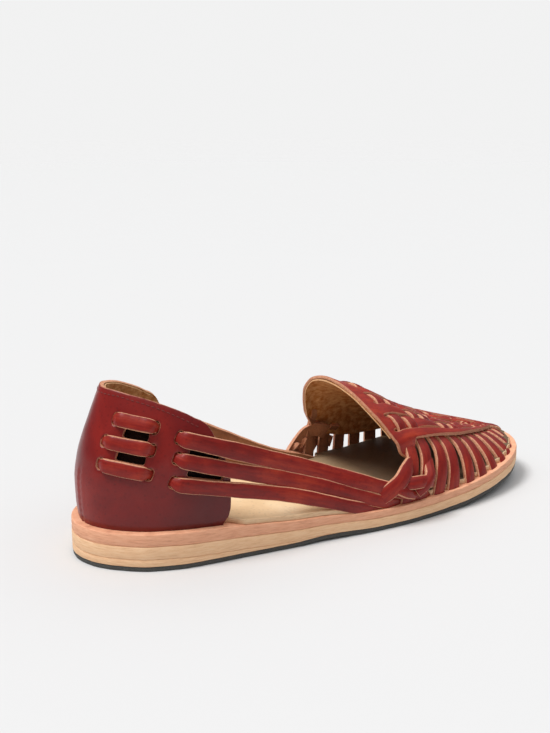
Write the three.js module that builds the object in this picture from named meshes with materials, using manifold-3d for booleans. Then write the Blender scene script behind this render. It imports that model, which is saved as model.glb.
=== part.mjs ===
// A flat huarache sandal for the right foot: a stacked leather sole, a moulded heel counter, and a woven
// leather upper whose side straps are threaded through slits in the counter.
// Millimetres. Every section is worked out with x from the back of the heel towards the toe, y from the
// lateral side (-) to the medial side (+), and z up from the floor. The last lines centre the finished group.
import * as THREE from "three";
import { mergeVertices } from "three/addons/utils/BufferGeometryUtils.js";
import Module from "manifold-3d";

const wasm = await Module();
wasm.setup();

// ---- Driving dimensions ----
const LENGTH = 250; // outsole, heel to toe
const GAP = 0.35; // room left between two pieces that meet
const OUTLINE_STEPS = 40; // stations along each sole layer

const RUBBER = 2.1; // outsole
const LIFT = 3.2; // heel lift, at the back
const LIFT_EDGE = 0.5; // and where it runs out
const LIFT_FULL_TO = 30;
const LIFT_END = 106;
const MIDSOLE_HEEL = 5.6;
const MIDSOLE_TOE = 4.0;
const WELT_HEEL = 5.4;
const WELT_TOE = 3.2;
const LAYERS_THIN_FROM = 45; // midsole and welt are full up to here
const LAYERS_THIN_TO = 145; // and at their toe thickness from here
const INSOLE = 2.4;
const TOE_SPRING = 7.6;
const SPRING_FROM = 168;
const SPRING_POWER = 1.4;
const ARCH_RISE = 0.9; // the shank just clears the floor
const ARCH_FROM = 84;
const ARCH_TO = 136;

const COUNTER_WALL = 2.2;
const COUNTER_NARROW = 0.905; // counter's width against the sole's at the foot
const COUNTER_ROOT = 75; // the lean of its back fades out this far forward
const COUNTER_ROWS = 7;
const COUNTER_COLUMNS = 28;
const COUNTER_CLEAR_OUTSIDE = 8; // the insole is cut back inside the counter, and away this far outside it
const COUNTER_CLEAR_BELOW = 2;

const UPPER_WALL = 2.0; // vamp leather
const UPPER_MARGIN = 1.4; // sole left showing round the vamp
const UPPER_BACK = 128; // where the last's forward half starts
const UPPER_TOE = 247;
const RIDGE_TOE = 225; // where the ridge of the last ends over the toes
const RIDGE_FAN = 1.12; // above 1, lines across the last crowd less at the throat
const VAMP_ROWS = 15;
const VAMP_COLUMNS = 16; // even, so that one column runs down the ridge
const STRIP_WALL = 1.9;
const STRIP_STEPS = 4;
const STRIP_SUNK = 0.25; // a side strip lies this far under the border's surface
const STRIP_OVERLAP = 0.09; // share of the climb to the ridge that it runs on under the border

const STRAP = 1.9; // thickness of the long side straps
const STRAP_ROOM = 0.76; // added to a strap's section to cut its way through the counter
const STRAP_OFF = GAP + 0.15; // clear of the counter's surface
const STRAP_STEPS = 20;
const TIE_STEPS = 5;
const WINDOW_STEPS = 4;
const WINDOW_DEPTH = 5.5; // cuts right through the counter's wall

// The medial side's slits lie further forward, and its straps come down nearer the heel.
const MEDIAL_FORWARD = 5;
const FORWARD_UP_TO = 42;
const FORWARD_NO_MORE = 62;
const MEDIAL_SHORT = 9;
const SHORT_FROM = 85;
const SHORT_FULL = 125;
const DROP_FROM = 40;
const DROP_FULL = 80;

// ---- Tables ----
// Sole outline: half width, and how far its middle lies from the heel's axis.
const OUTLINE = [
  { x: 0, half: 0, middle: 0 },
  { x: 12, half: 22.8, middle: -0.2 },
  { x: 25, half: 30.6, middle: -0.9 },
  { x: 45, half: 34.4, middle: -1.9 },
  { x: 75, half: 34.6, middle: -4.0 },
  { x: 100, half: 34.9, middle: -5.6 },
  { x: 130, half: 38.4, middle: -4.5 },
  { x: 160, half: 42.0, middle: -0.9 },
  { x: 185, half: 41.9, middle: 1.4 },
  { x: 205, half: 39.0, middle: 2.3 },
  { x: 220, half: 34.4, middle: 2.9 },
  { x: 232, half: 28.4, middle: 3.4 },
  { x: 241, half: 21.2, middle: 3.8 },
  { x: 247, half: 12.6, middle: 4.0 },
  { x: 250, half: 0, middle: 4.0 },
];

// Back of the foot: how far the shell leans forward, and its width against the sole's, at each height.
const COUNTER_SECTIONS = [
  { z: 17, lean: 3.5, width: 1.0, front: 55.5 },
  { z: 20, lean: 3.1, width: 1.005, front: 59.2 },
  { z: 25, lean: 2.5, width: 1.01, front: 60.4 },
  { z: 36, lean: 2.2, width: 1.0, front: 60.6 },
  { z: 46, lean: 3.6, width: 0.975, front: 58.9 },
  { z: 57, lean: 6.8, width: 0.915, front: 54.6 },
  { z: 62, lean: 8.8, width: 0.88, front: 52.2 },
  { z: 66, lean: 10.4, width: 0.84, front: 48.2 },
  { z: 79, lean: 15.6, width: 0.7, front: 44 },
];

// Collar line of the counter: its height above the floor, by how far forward it is.
const COLLAR = [
  { x: 0, z: 78.0 },
  { x: 16, z: 78.0 },
  { x: 23, z: 76.4 },
  { x: 29, z: 74.6 },
  { x: 36, z: 71.7 },
  { x: 43.5, z: 68.0 },
  { x: 48.5, z: 64.8 },
];

// Ridge of the last over the instep and toes.
const RIDGE = [
  { x: 128, z: 66.6, y: 4.5 },
  { x: 138, z: 63.2, y: 4.5 },
  { x: 150, z: 58.0, y: 4.4 },
  { x: 165, z: 49.6, y: 4.2 },
  { x: 184, z: 38.8, y: 4.0 },
  { x: 200, z: 31.0, y: 4.0 },
  { x: 212, z: 26.8, y: 4.0 },
  { x: 225, z: 23.2, y: 4.0 },
];

// Throat edge of the vamp: how far forward it starts, by the way round the section from the lateral
// border (across = 0) over the ridge (0.5) to the medial border (1).
const THROAT = [
  { across: 0.0, x: 152.0 },
  { across: 0.1, x: 147.5 },
  { across: 0.2, x: 143.5 },
  { across: 0.3, x: 141.0 },
  { across: 0.4, x: 138.8 },
  { across: 0.5, x: 136.8 },
  { across: 0.6, x: 134.2 },
  { across: 0.7, x: 132.6 },
  { across: 0.8, x: 132.6 },
  { across: 0.9, x: 134.8 },
  { across: 1.0, x: 138.5 },
];

// Lower border of the woven vamp: its share of the climb from the sole to the ridge.
const BORDER = [
  { x: 128, lateral: 0.35, medial: 0.4 },
  { x: 150, lateral: 0.35, medial: 0.34 },
  { x: 182, lateral: 0.4, medial: 0.28 },
  { x: 205, lateral: 0.43, medial: 0.31 },
  { x: 222, lateral: 0.44, medial: 0.38 },
  { x: 234, lateral: 0.47, medial: 0.44 },
  { x: 247, lateral: 0.5, medial: 0.5 },
];

// Side strips of the vamp: where each foot meets the sole, where its head goes under the border, and
// its width, for the lateral side and the medial side.
const LATERAL_STRIPS = [
  { foot: 152.5, head: 159.0, width: 7.2 },
  { foot: 161.5, head: 167.5, width: 7.0 },
  { foot: 173.0, head: 176.5, width: 7.0 },
  { foot: 182.5, head: 184.0, width: 7.2 },
  { foot: 194.5, head: 193.0, width: 7.0 },
  { foot: 204.5, head: 201.5, width: 7.0 },
  { foot: 214.5, head: 210.0, width: 7.0 },
  { foot: 224.0, head: 218.0, width: 6.8 },
  { foot: 232.5, head: 225.5, width: 6.6 },
  { foot: 239.5, head: 232.0, width: 6.4 },
  { foot: 244.5, head: 237.5, width: 6.2 },
  { foot: 247.0, head: 245.0, width: 6.2 },
];
const MEDIAL_STRIPS = [
  { foot: 143.0, head: 146.0, width: 7.2 },
  { foot: 154.0, head: 155.5, width: 7.0 },
  { foot: 165.0, head: 165.0, width: 7.0 },
  { foot: 176.0, head: 174.5, width: 7.0 },
  { foot: 187.0, head: 184.0, width: 7.0 },
  { foot: 198.0, head: 193.5, width: 7.0 },
  { foot: 208.5, head: 203.0, width: 7.0 },
  { foot: 218.5, head: 212.0, width: 6.8 },
  { foot: 228.0, head: 220.5, width: 6.6 },
  { foot: 236.0, head: 228.5, width: 6.4 },
  { foot: 242.0, head: 234.5, width: 6.2 },
  { foot: 245.6, head: 240.0, width: 6.0 },
];

// Side straps, from the hidden end behind the counter to the ball: height of the middle of the strap
// along its way, with its width. "out" is the side of the counter wall it runs on: 1 outside, -1 inside.
const STRAP_ROUTES = {
  top: [
    { x: 14.5, z: 66.6, width: 6.0, out: -1 },
    { x: 17.5, z: 66.2, width: 6.0, out: 1 },
    { x: 27.5, z: 63.9, width: 6.4, out: 1 },
    { x: 31.0, z: 62.6, width: 6.4, out: -1 },
    { x: 36.5, z: 59.6, width: 6.6, out: -1 },
    { x: 41.0, z: 57.4, width: 6.8, out: 1 },
    { x: 58.0, z: 51.6, width: 7.2, out: 1 },
    { x: 88.0, z: 40.0, width: 7.0, out: 0 },
    { x: 109.0, z: 31.8, width: 6.6, out: 0 },
    { x: 128.0, z: 24.8, width: 6.2, out: 0 },
    { x: 150.0, z: 16.4, width: 5.6, out: 0 },
  ],
  middle: [
    { x: 9.0, z: 57.2, width: 6.0, out: -1 },
    { x: 12.5, z: 56.8, width: 6.0, out: 1 },
    { x: 24.5, z: 54.6, width: 6.4, out: 1 },
    { x: 28.5, z: 53.4, width: 6.4, out: -1 },
    { x: 34.5, z: 50.8, width: 6.4, out: -1 },
    { x: 39.0, z: 48.6, width: 6.6, out: 1 },
    { x: 60.0, z: 41.8, width: 6.6, out: 1 },
    { x: 88.0, z: 32.4, width: 6.2, out: 0 },
    { x: 109.0, z: 24.8, width: 5.6, out: 0 },
    { x: 125.0, z: 18.8, width: 5.2, out: 0 },
    { x: 139.0, z: 14.8, width: 4.6, out: 0 },
  ],
  low: [
    { x: 6.5, z: 47.4, width: 6.0, out: -1 },
    { x: 9.5, z: 47.0, width: 6.0, out: 1 },
    { x: 22.0, z: 44.4, width: 6.4, out: 1 },
    { x: 26.5, z: 42.9, width: 6.4, out: -1 },
    { x: 32.0, z: 40.4, width: 6.4, out: -1 },
    { x: 36.5, z: 38.4, width: 6.6, out: 1 },
    { x: 60.0, z: 32.8, width: 6.4, out: 1 },
    { x: 88.0, z: 25.6, width: 5.6, out: 0 },
    { x: 109.0, z: 18.8, width: 5.0, out: 0 },
    { x: 124.0, z: 15.0, width: 4.2, out: 0 },
  ],
};

// How far each strap leans in over the foot at the waist, and how much lower it runs on the medial side.
const STRAP_LIE = {
  top: { lean: 3.0, medialDrop: 4.5 },
  middle: { lean: 1.5, medialDrop: 3.0 },
  low: { lean: 0, medialDrop: 1.2 },
};
const LEAN = [
  { x: 58, share: 0 },
  { x: 86, share: 1 },
  { x: 104, share: 1 },
  { x: 136, share: 0 },
];

// How far in from the sole's edge the straps come down.
const TUCK = [
  { x: 58, inset: 3.4 },
  { x: 88, inset: 3.2 },
  { x: 109, inset: 2.9 },
  { x: 128, inset: 2.6 },
  { x: 160, inset: 2.6 },
];

// Windows in the counter between one strap and the next.
const COUNTER_WINDOWS = [
  { fromX: 17.5, fromZ: 61.1, toX: 26.0, toZ: 59.1, height: 3.0, medialDrop: 0 },
  { fromX: 13.5, fromZ: 51.4, toX: 23.5, toZ: 49.4, height: 3.2, medialDrop: 0 },
  { fromX: 43.5, fromZ: 51.9, toX: 57.0, toZ: 47.0, height: 2.6, medialDrop: 3.7 },
  { fromX: 41.5, fromZ: 42.2, toX: 57.5, toZ: 38.2, height: 2.4, medialDrop: 2.1 },
];

// Small strips round the ball that bind the side straps to the vamp: from and to, and how far each
// stands out from the straps.
const BALL_TIES = [
  { fromX: 155.5, fromZ: 27.0, toX: 136.5, toZ: 15.5, width: 7.0, proud: 1.5 },
  { fromX: 163.5, fromZ: 21.0, toX: 147.0, toZ: 13.8, width: 6.2, proud: 1.2 },
];

// ---- Curves and small helpers ----
const clamp = THREE.MathUtils.clamp;
const mix = THREE.MathUtils.lerp;
const smooth = THREE.MathUtils.smoothstep;

// A smooth curve through one column of a table that never overshoots its rows. "ease" bends the scale of
// the distance, so that a rounded end stays round.
function column(rows, from, key, ease = (x) => x) {
  const xs = rows.map((row) => ease(row[from]));
  const ys = rows.map((row) => row[key]);
  const last = xs.length - 1;
  const slope = (i) => (ys[i + 1] - ys[i]) / (xs[i + 1] - xs[i]);
  const tangent = xs.map((x, i) => {
    if (i === 0) return slope(0);
    if (i === last) return slope(last - 1);
    const before = slope(i - 1);
    const after = slope(i);
    if (before * after <= 0) return 0;
    return (2 * before * after) / (before + after);
  });
  return (distance) => {
    const x = clamp(ease(distance), xs[0], xs[last]);
    let i = 0;
    while (i < last - 1 && x > xs[i + 1]) i += 1;
    const width = xs[i + 1] - xs[i];
    const t = (x - xs[i]) / width;
    const risen = t * t * (3 - 2 * t);
    const bow = t * (1 - t) * (1 - t) * tangent[i] * width - t * t * (1 - t) * tangent[i + 1] * width;
    return mix(ys[i], ys[i + 1], risen) + bow;
  };
}

// Even steps from 0 to 1.
const steps = (count) => Array.from({ length: count + 1 }, (_, i) => i / count);

// Round-ended spacing along a length: crowded at the heel and the toe, where the outline turns.
const roundedShare = (x, length) => Math.acos(clamp(1 - (2 * x) / length, -1, 1)) / Math.PI;
const roundedPlace = (share, length) => (length * (1 - Math.cos(Math.PI * share))) / 2;

// ---- Solids ----
function solidFrom(points, triangles) {
  const geometry = new THREE.BufferGeometry();
  geometry.setAttribute("position", new THREE.Float32BufferAttribute(points.flatMap((p) => p.toArray()), 3));
  geometry.setIndex(triangles.flat());
  const merged = mergeVertices(geometry, 1e-3);
  const index = Array.from(merged.index.array);
  const kept = [];
  for (let i = 0; i < index.length; i += 3) {
    const [a, b, c] = index.slice(i, i + 3);
    if (a !== b && b !== c && c !== a) kept.push(a, b, c);
  }
  const position = merged.attributes.position;
  const corner = (i) => new THREE.Vector3().fromBufferAttribute(position, i);
  let volume = 0;
  for (let i = 0; i < kept.length; i += 3) {
    volume += corner(kept[i]).dot(corner(kept[i + 1]).cross(corner(kept[i + 2])));
  }
  if (volume < 0) kept.reverse();
  const mesh = new wasm.Mesh({
    numProp: 3,
    vertProperties: position.array,
    triVerts: new Uint32Array(kept),
  });
  return new wasm.Manifold(mesh);
}

// A closed bar through a row of four-cornered sections.
function barThrough(sections) {
  const points = sections.flat();
  const triangles = [];
  for (let i = 0; i + 1 < sections.length; i += 1) {
    for (let k = 0; k < 4; k += 1) {
      const a = 4 * i + k;
      const b = 4 * i + ((k + 1) % 4);
      triangles.push([a, b, b + 4], [a, b + 4, a + 4]);
    }
  }
  const end = 4 * (sections.length - 1);
  triangles.push([0, 2, 1], [0, 3, 2], [end, end + 1, end + 2], [end, end + 2, end + 3]);
  return solidFrom(points, triangles);
}

// A sheet of leather as a closed solid. "skin" is a grid of outer points, "back" the same grid moved
// in by the wall. A folded sheet has its two halves of the last row lying on each other.
function sheetSolid(skin, back, folded = false) {
  const rows = skin.length;
  const columns = skin[0].length;
  const points = [...skin.flat(), ...back.flat()];
  const outer = (i, j) => i * columns + j;
  const inner = (i, j) => rows * columns + i * columns + j;
  const triangles = [];
  const quad = (a, b, c, d) => triangles.push([a, b, c], [a, c, d]);
  for (let i = 0; i + 1 < rows; i += 1) {
    for (let j = 0; j + 1 < columns; j += 1) {
      quad(outer(i, j), outer(i + 1, j), outer(i + 1, j + 1), outer(i, j + 1));
      quad(inner(i, j), inner(i, j + 1), inner(i + 1, j + 1), inner(i + 1, j));
    }
    quad(outer(i, 0), inner(i, 0), inner(i + 1, 0), outer(i + 1, 0));
    const j = columns - 1;
    quad(outer(i, j), outer(i + 1, j), inner(i + 1, j), inner(i, j));
  }
  for (let j = 0; j + 1 < columns; j += 1) {
    quad(outer(0, j), outer(0, j + 1), inner(0, j + 1), inner(0, j));
    const i = rows - 1;
    if (!folded) quad(outer(i, j), inner(i, j), inner(i, j + 1), outer(i, j + 1));
  }
  return solidFrom(points, triangles);
}

// Outward normals of a grid of points.
function gridNormals(grid, folded = false) {
  const rows = grid.length;
  const columns = grid[0].length;
  const at = (i, j) => {
    if (i >= rows) return folded ? grid[rows - 2][columns - 1 - j] : grid[rows - 1][j];
    return grid[Math.max(i, 0)][clamp(j, 0, columns - 1)];
  };
  return grid.map((row, i) =>
    row.map((_, j) => {
      const along = at(i + 1, j).clone().sub(at(i - 1, j));
      const across = at(i, j + 1).clone().sub(at(i, j - 1));
      return across.cross(along).normalize();
    }),
  );
}

const moved = (grid, normals, distance) =>
  grid.map((row, i) => row.map((p, j) => p.clone().addScaledVector(normals[i][j], distance)));

// A flat strip: its middle line, the outward normal at each point, a width at each point, and a wall.
function stripSolid(line, normals, widths, wall) {
  const sections = line.map((point, i) => {
    const ahead = line[Math.min(i + 1, line.length - 1)];
    const behind = line[Math.max(i - 1, 0)];
    const along = ahead.clone().sub(behind).normalize();
    const side = along.cross(normals[i]).normalize().multiplyScalar(widths[i] / 2);
    const out = normals[i].clone().multiplyScalar(wall / 2);
    return [
      point.clone().add(side).add(out),
      point.clone().sub(side).add(out),
      point.clone().sub(side).sub(out),
      point.clone().add(side).sub(out),
    ];
  });
  return barThrough(sections);
}

const joined = (solids) => solids.reduce((whole, next) => whole.add(next));

// ---- Sole ----
const outlineEase = (x) => roundedShare(x, LENGTH);
const halfWidth = column(OUTLINE, "x", "half", outlineEase);
const middleLine = column(OUTLINE, "x", "middle");

// A point of the sole's edge, moved in square to the edge. side is -1 on the lateral edge, 1 on the medial.
function edgePoint(share, side, inset) {
  const place = (s) => {
    const x = roundedPlace(clamp(s, 0, 1), LENGTH);
    return new THREE.Vector2(x, middleLine(x) + side * halfWidth(x));
  };
  const step = 1e-3;
  const along = place(share + step).sub(place(share - step)).normalize();
  const point = place(share);
  if (share <= 0) return point.add(new THREE.Vector2(inset, 0));
  if (share >= 1) return point.add(new THREE.Vector2(-inset, 0));
  return point.add(new THREE.Vector2(side * along.y, -side * along.x).multiplyScalar(inset));
}

// Underside of the sole: flat at the heel and the ball, lifted a little at the shank and up at the toe.
function ground(x) {
  const toe = clamp((x - SPRING_FROM) / (LENGTH - SPRING_FROM), 0, 1);
  const shank = clamp((x - ARCH_FROM) / (ARCH_TO - ARCH_FROM), 0, 1);
  return TOE_SPRING * toe ** SPRING_POWER + ARCH_RISE * Math.sin(Math.PI * shank) ** 2;
}

const thinned = (x) => smooth(x, LAYERS_THIN_FROM, LAYERS_THIN_TO);
const liftShare = (x) => clamp((LIFT_END - x) / (LIFT_END - LIFT_FULL_TO), 0, 1);
const rubberTop = (x) => ground(x) + RUBBER;
const liftTop = (x) => rubberTop(x) + GAP + mix(LIFT_EDGE, LIFT - GAP, liftShare(x));
const midsoleBottom = (x) => {
  const behindLift = liftTop(x) + GAP;
  const aheadOfLift = rubberTop(x) + GAP;
  return mix(behindLift, aheadOfLift, smooth(x, LIFT_END - 4, LIFT_END + 10));
};
const midsoleTop = (x) => midsoleBottom(x) + mix(MIDSOLE_HEEL, MIDSOLE_TOE, thinned(x));
const weltTop = (x) => midsoleTop(x) + GAP + mix(WELT_HEEL, WELT_TOE, thinned(x));
const seat = (x) => weltTop(x) + GAP; // where the insole and the upper come down

// One layer of the sole between two heights, with its edge moved in, up to a distance from the heel.
function soleLayer(bottom, top, inset, end = LENGTH) {
  const lastShare = roundedShare(end, LENGTH);
  const sections = steps(OUTLINE_STEPS).map((step) => {
    const share = clamp(step * lastShare, 0.004, 0.996);
    const lateral = edgePoint(share, -1, inset);
    const medial = edgePoint(share, 1, inset);
    return [
      new THREE.Vector3(lateral.x, lateral.y, bottom(lateral.x)),
      new THREE.Vector3(medial.x, medial.y, bottom(medial.x)),
      new THREE.Vector3(medial.x, medial.y, top(medial.x)),
      new THREE.Vector3(lateral.x, lateral.y, top(lateral.x)),
    ];
  });
  return barThrough(sections);
}

// ---- Heel counter ----
const counterLean = column(COUNTER_SECTIONS, "z", "lean");
const counterWidth = column(COUNTER_SECTIONS, "z", "width");
const counterFront = column(COUNTER_SECTIONS, "z", "front");
const collarHeight = column(COLLAR, "x", "z");

// Outer surface of the counter at a height and a distance from the back of the heel.
function counterSide(x, z, side) {
  const lean = counterLean(z);
  const along = Math.max((x - lean) / (1 - lean / COUNTER_ROOT), 0);
  const half = halfWidth(along) * COUNTER_NARROW * counterWidth(z);
  return new THREE.Vector3(x, middleLine(along) + side * half, z);
}

function counterSideNormal(x, z, side) {
  const step = 0.4;
  const along = counterSide(x + step, z, side).sub(counterSide(x - step, z, side));
  const up = counterSide(x, z + step, side).sub(counterSide(x, z - step, side));
  return along.cross(up).normalize().multiplyScalar(-side);
}

// Grid of the counter's outer surface, from the lateral front edge round the back to the medial one.
function counterGrid(extraFront = 0, bottomDrop = 0) {
  return steps(COUNTER_ROWS).map((rise) =>
    steps(COUNTER_COLUMNS).map((turn) => {
      const around = 2 * turn - 1;
      const side = Math.sign(around) || 1;
      const bottom = seat(0) - bottomDrop;
      let z = bottom;
      let x = 0;
      for (let pass = 0; pass < 4; pass += 1) {
        const lean = counterLean(z);
        const shrink = 1 - lean / COUNTER_ROOT;
        const front = (counterFront(z) + extraFront - lean) / shrink;
        const along = roundedPlace(Math.abs(around) * roundedShare(front, LENGTH), LENGTH);
        x = lean + along * shrink;
        const foot = Math.min(seat(x), bottom + GAP);
        z = mix(foot - bottomDrop, collarHeight(x), rise);
      }
      return counterSide(x, z, side);
    }),
  );
}

function counterWall(inside, outside, extraFront, bottomDrop) {
  const grid = counterGrid(extraFront, bottomDrop);
  const normals = gridNormals(grid);
  const sign = normals[1][COUNTER_COLUMNS / 2].x < 0 ? 1 : -1;
  return sheetSolid(moved(grid, normals, sign * outside), moved(grid, normals, -sign * inside));
}

// ---- Vamp ----
const ridgeHeight = column(RIDGE, "x", "z");
const ridgeMiddle = column(RIDGE, "x", "y");
const throatPlace = column(THROAT, "across", "x");
const borderLateral = column(BORDER, "x", "lateral");
const borderMedial = column(BORDER, "x", "medial");
const border = (x, side) => (side < 0 ? borderLateral(x) : borderMedial(x));

const UPPER_BACK_SHARE = roundedShare(UPPER_BACK, UPPER_TOE);
const shareOf = (x) => clamp((roundedShare(x, UPPER_TOE) - UPPER_BACK_SHARE) / (1 - UPPER_BACK_SHARE), 0, 1);
const placeOf = (share) => roundedPlace(mix(UPPER_BACK_SHARE, 1, share), UPPER_TOE);

// The last's forward half: "share" runs along the feather line from the back of the throat to the toe,
// and "climb" from the feather line, 0, up to the ridge, 1. Lines of one share fan out round the toe.
function lastPoint(share, climb, side) {
  const foot = placeOf(share);
  const edge = edgePoint(roundedShare(foot * (LENGTH / UPPER_TOE), LENGTH), side, 0);
  const inset = (LENGTH - UPPER_MARGIN * 2) / LENGTH;
  const middle = middleLine(foot);
  const low = new THREE.Vector3(foot, middle + (edge.y - middle) * inset - side * UPPER_MARGIN * (1 - share), 0);
  low.z = seat(foot);
  const ridge = mix(UPPER_BACK, RIDGE_TOE, share ** RIDGE_FAN);
  const high = new THREE.Vector3(ridge, ridgeMiddle(ridge), ridgeHeight(ridge));
  const angle = (climb * Math.PI) / 2;
  const reach = 1 - Math.cos(angle);
  const rise = Math.sin(angle);
  const forward = mix(rise, reach, share ** 3);
  return new THREE.Vector3(mix(low.x, high.x, forward), mix(low.y, high.y, reach), mix(low.z, high.z, rise));
}

function lastNormal(share, climb, side) {
  const step = 0.004;
  const s = clamp(share, step, 1 - step);
  const c = clamp(climb, step, 1 - step);
  const along = lastPoint(s + step, c, side).sub(lastPoint(s - step, c, side));
  const up = lastPoint(s, c + step, side).sub(lastPoint(s, c - step, side));
  return along.cross(up).normalize().multiplyScalar(-side);
}

// Share along the last at which a point of this climb lies this far from the heel.
function shareAt(x, climb, side) {
  let low = 0;
  let high = 1;
  for (let pass = 0; pass < 24; pass += 1) {
    const guess = (low + high) / 2;
    if (lastPoint(guess, climb, side).x < x) low = guess;
    else high = guess;
  }
  return (low + high) / 2;
}

function vampWall() {
  const grid = steps(VAMP_ROWS).map((back) =>
    steps(VAMP_COLUMNS).map((across) => {
      const side = across < 0.5 ? -1 : 1;
      const toRidge = 1 - Math.abs(2 * across - 1);
      const startX = throatPlace(across);
      const start = shareAt(startX, mix(border(startX, side), 1, toRidge), side);
      const share = mix(start, 1, back);
      const climb = mix(border(placeOf(share), side), 1, toRidge);
      return lastPoint(share, climb, side);
    }),
  );
  const normals = gridNormals(grid, true);
  const sign = normals[0][VAMP_COLUMNS / 2].z > 0 ? 1 : -1;
  return sheetSolid(grid, moved(grid, normals, -sign * UPPER_WALL), true);
}

// One side strip, with extra room all round when it is made to cut its notch in the insole.
function sideStrip({ foot, head, width }, side, room = 0) {
  const climbTo = border(foot, side) + STRIP_OVERLAP;
  const footShare = shareOf(foot);
  const headShare = shareAt(head, climbTo, side);
  const line = [];
  const normals = [];
  for (const step of steps(STRIP_STEPS)) {
    const share = mix(footShare, headShare, step);
    const normal = lastNormal(share, climbTo * step, side);
    const point = lastPoint(share, climbTo * step, side);
    line.push(point.addScaledVector(normal, -STRIP_SUNK - STRIP_WALL / 2));
    normals.push(normal);
  }
  if (room) line.unshift(line[0].clone().add(new THREE.Vector3(0, 0, -room)));
  if (room) normals.unshift(normals[0]);
  return stripSolid(line, normals, line.map(() => width + room), STRIP_WALL + room);
}

// ---- Side straps ----
const tuckInset = column(TUCK, "x", "inset");
const leanShare = column(LEAN, "x", "share");

// A place on the medial side that matches one on the lateral side.
function onSide(x, z, medialDrop, side) {
  if (side < 0) return { x, z };
  const forward = MEDIAL_FORWARD * (1 - smooth(x, FORWARD_UP_TO, FORWARD_NO_MORE));
  const back = MEDIAL_SHORT * smooth(x, SHORT_FROM, SHORT_FULL);
  return { x: x + forward - back, z: z - medialDrop * smooth(x, DROP_FROM, DROP_FULL) };
}

function strapFrame({ x, z, out, lean }, side) {
  if (out === 0) {
    const y = middleLine(x) + side * (halfWidth(x) - tuckInset(x) - lean * leanShare(x));
    return { point: new THREE.Vector3(x, y, z), normal: new THREE.Vector3(-0.03, side, 0.05).normalize() };
  }
  const normal = counterSideNormal(x, z, side);
  const off = out > 0 ? STRAP_OFF + STRAP / 2 : -(COUNTER_WALL + STRAP_OFF + STRAP / 2);
  return { point: counterSide(x, z, side).addScaledVector(normal, off), normal };
}

// The route with a frame every few millimetres, so that the strap hugs the counter between its rows.
function strapRoute(rows, side) {
  const frames = [];
  rows.forEach((row, i) => {
    frames.push({ ...strapFrame(row, side), width: row.width });
    const next = rows[i + 1];
    if (!next || next.out !== row.out || row.out === 0) return;
    const count = Math.floor((next.x - row.x) / 4);
    for (let k = 1; k <= count; k += 1) {
      const t = k / (count + 1);
      const between = { ...row, x: mix(row.x, next.x, t), z: mix(row.z, next.z, t) };
      frames.push({ ...strapFrame(between, side), width: mix(row.width, next.width, t) });
    }
  });
  return frames;
}

function sideStrap(name, side, room = 0) {
  const { lean, medialDrop } = STRAP_LIE[name];
  const rows = STRAP_ROUTES[name].map((row) => ({ ...row, ...onSide(row.x, row.z, medialDrop, side), lean }));
  const frames = strapRoute(rows, side);
  const last = frames.length - 1;
  const line = new THREE.CatmullRomCurve3(frames.map((frame) => frame.point), false, "centripetal");
  const points = [];
  const normals = [];
  const widths = [];
  const perFrame = Math.max(1, Math.round(STRAP_STEPS / last));
  for (const step of steps(last * perFrame)) {
    const at = step * last;
    const i = Math.min(Math.floor(at), last - 1);
    points.push(line.getPoint(step));
    normals.push(frames[i].normal.clone().lerp(frames[i + 1].normal, at - i).normalize());
    widths.push(mix(frames[i].width, frames[i + 1].width, at - i) + room);
  }
  return stripSolid(points, normals, widths, STRAP + room);
}

// A strip that ties the straps to the first strips of the vamp.
function ballTie({ fromX, fromZ, toX, toZ, width, proud }, side, room = 0) {
  const back = side < 0 ? 0 : MEDIAL_SHORT;
  const line = [];
  const normals = [];
  for (const step of steps(TIE_STEPS)) {
    const x = mix(fromX, toX, step) - back;
    const z = mix(fromZ, toZ, step);
    const bow = Math.sin(Math.PI * clamp(0.15 + step * 0.85, 0, 1)) * proud;
    const y = middleLine(x) + side * (halfWidth(x) - tuckInset(x) + bow);
    line.push(new THREE.Vector3(x, y, z));
    normals.push(new THREE.Vector3(0, side, 0.12).normalize());
  }
  return stripSolid(line, normals, line.map(() => width + room), STRAP + room);
}

function windowCutter({ fromX, fromZ, toX, toZ, height, medialDrop }, side) {
  const start = onSide(fromX, fromZ, medialDrop, side);
  const end = onSide(toX, toZ, medialDrop, side);
  const line = [];
  const normals = [];
  for (const step of steps(WINDOW_STEPS)) {
    const x = mix(start.x, end.x, step);
    const z = mix(start.z, end.z, step);
    const normal = counterSideNormal(x, z, side);
    line.push(counterSide(x, z, side).addScaledVector(normal, -COUNTER_WALL / 2));
    normals.push(normal);
  }
  return stripSolid(line, normals, line.map(() => height), WINDOW_DEPTH);
}

// ---- The pieces ----
const SIDES = [-1, 1];
const stripsOf = (side) => (side < 0 ? LATERAL_STRIPS : MEDIAL_STRIPS);
const onBothSides = (rows, make) => SIDES.flatMap((side) => rows.map((row) => make(row, side)));

const straps = (room) => onBothSides(Object.keys(STRAP_ROUTES), (name, side) => sideStrap(name, side, room));
const strips = (room) => SIDES.flatMap((side) => stripsOf(side).map((row) => sideStrip(row, side, room)));
const ties = (room) => onBothSides(BALL_TIES, (row, side) => ballTie(row, side, room));

const outsole = soleLayer(ground, rubberTop, 0.2);
const heelLift = soleLayer((x) => rubberTop(x) + GAP, liftTop, 0, LIFT_END);
const midsole = soleLayer(midsoleBottom, midsoleTop, 0.1);
const welt = soleLayer((x) => midsoleTop(x) + GAP, weltTop, 0.1);

const counterCuts = joined([...straps(STRAP_ROOM), ...onBothSides(COUNTER_WINDOWS, windowCutter)]);
const heelCounter = counterWall(COUNTER_WALL, 0, 0, 0).subtract(counterCuts);

const underTheSeat = soleLayer(() => -1, seat, -4);
const wovenUpper = joined([vampWall(), ...strips(0), ...straps(0), ...ties(0)]).subtract(underTheSeat);

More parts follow.
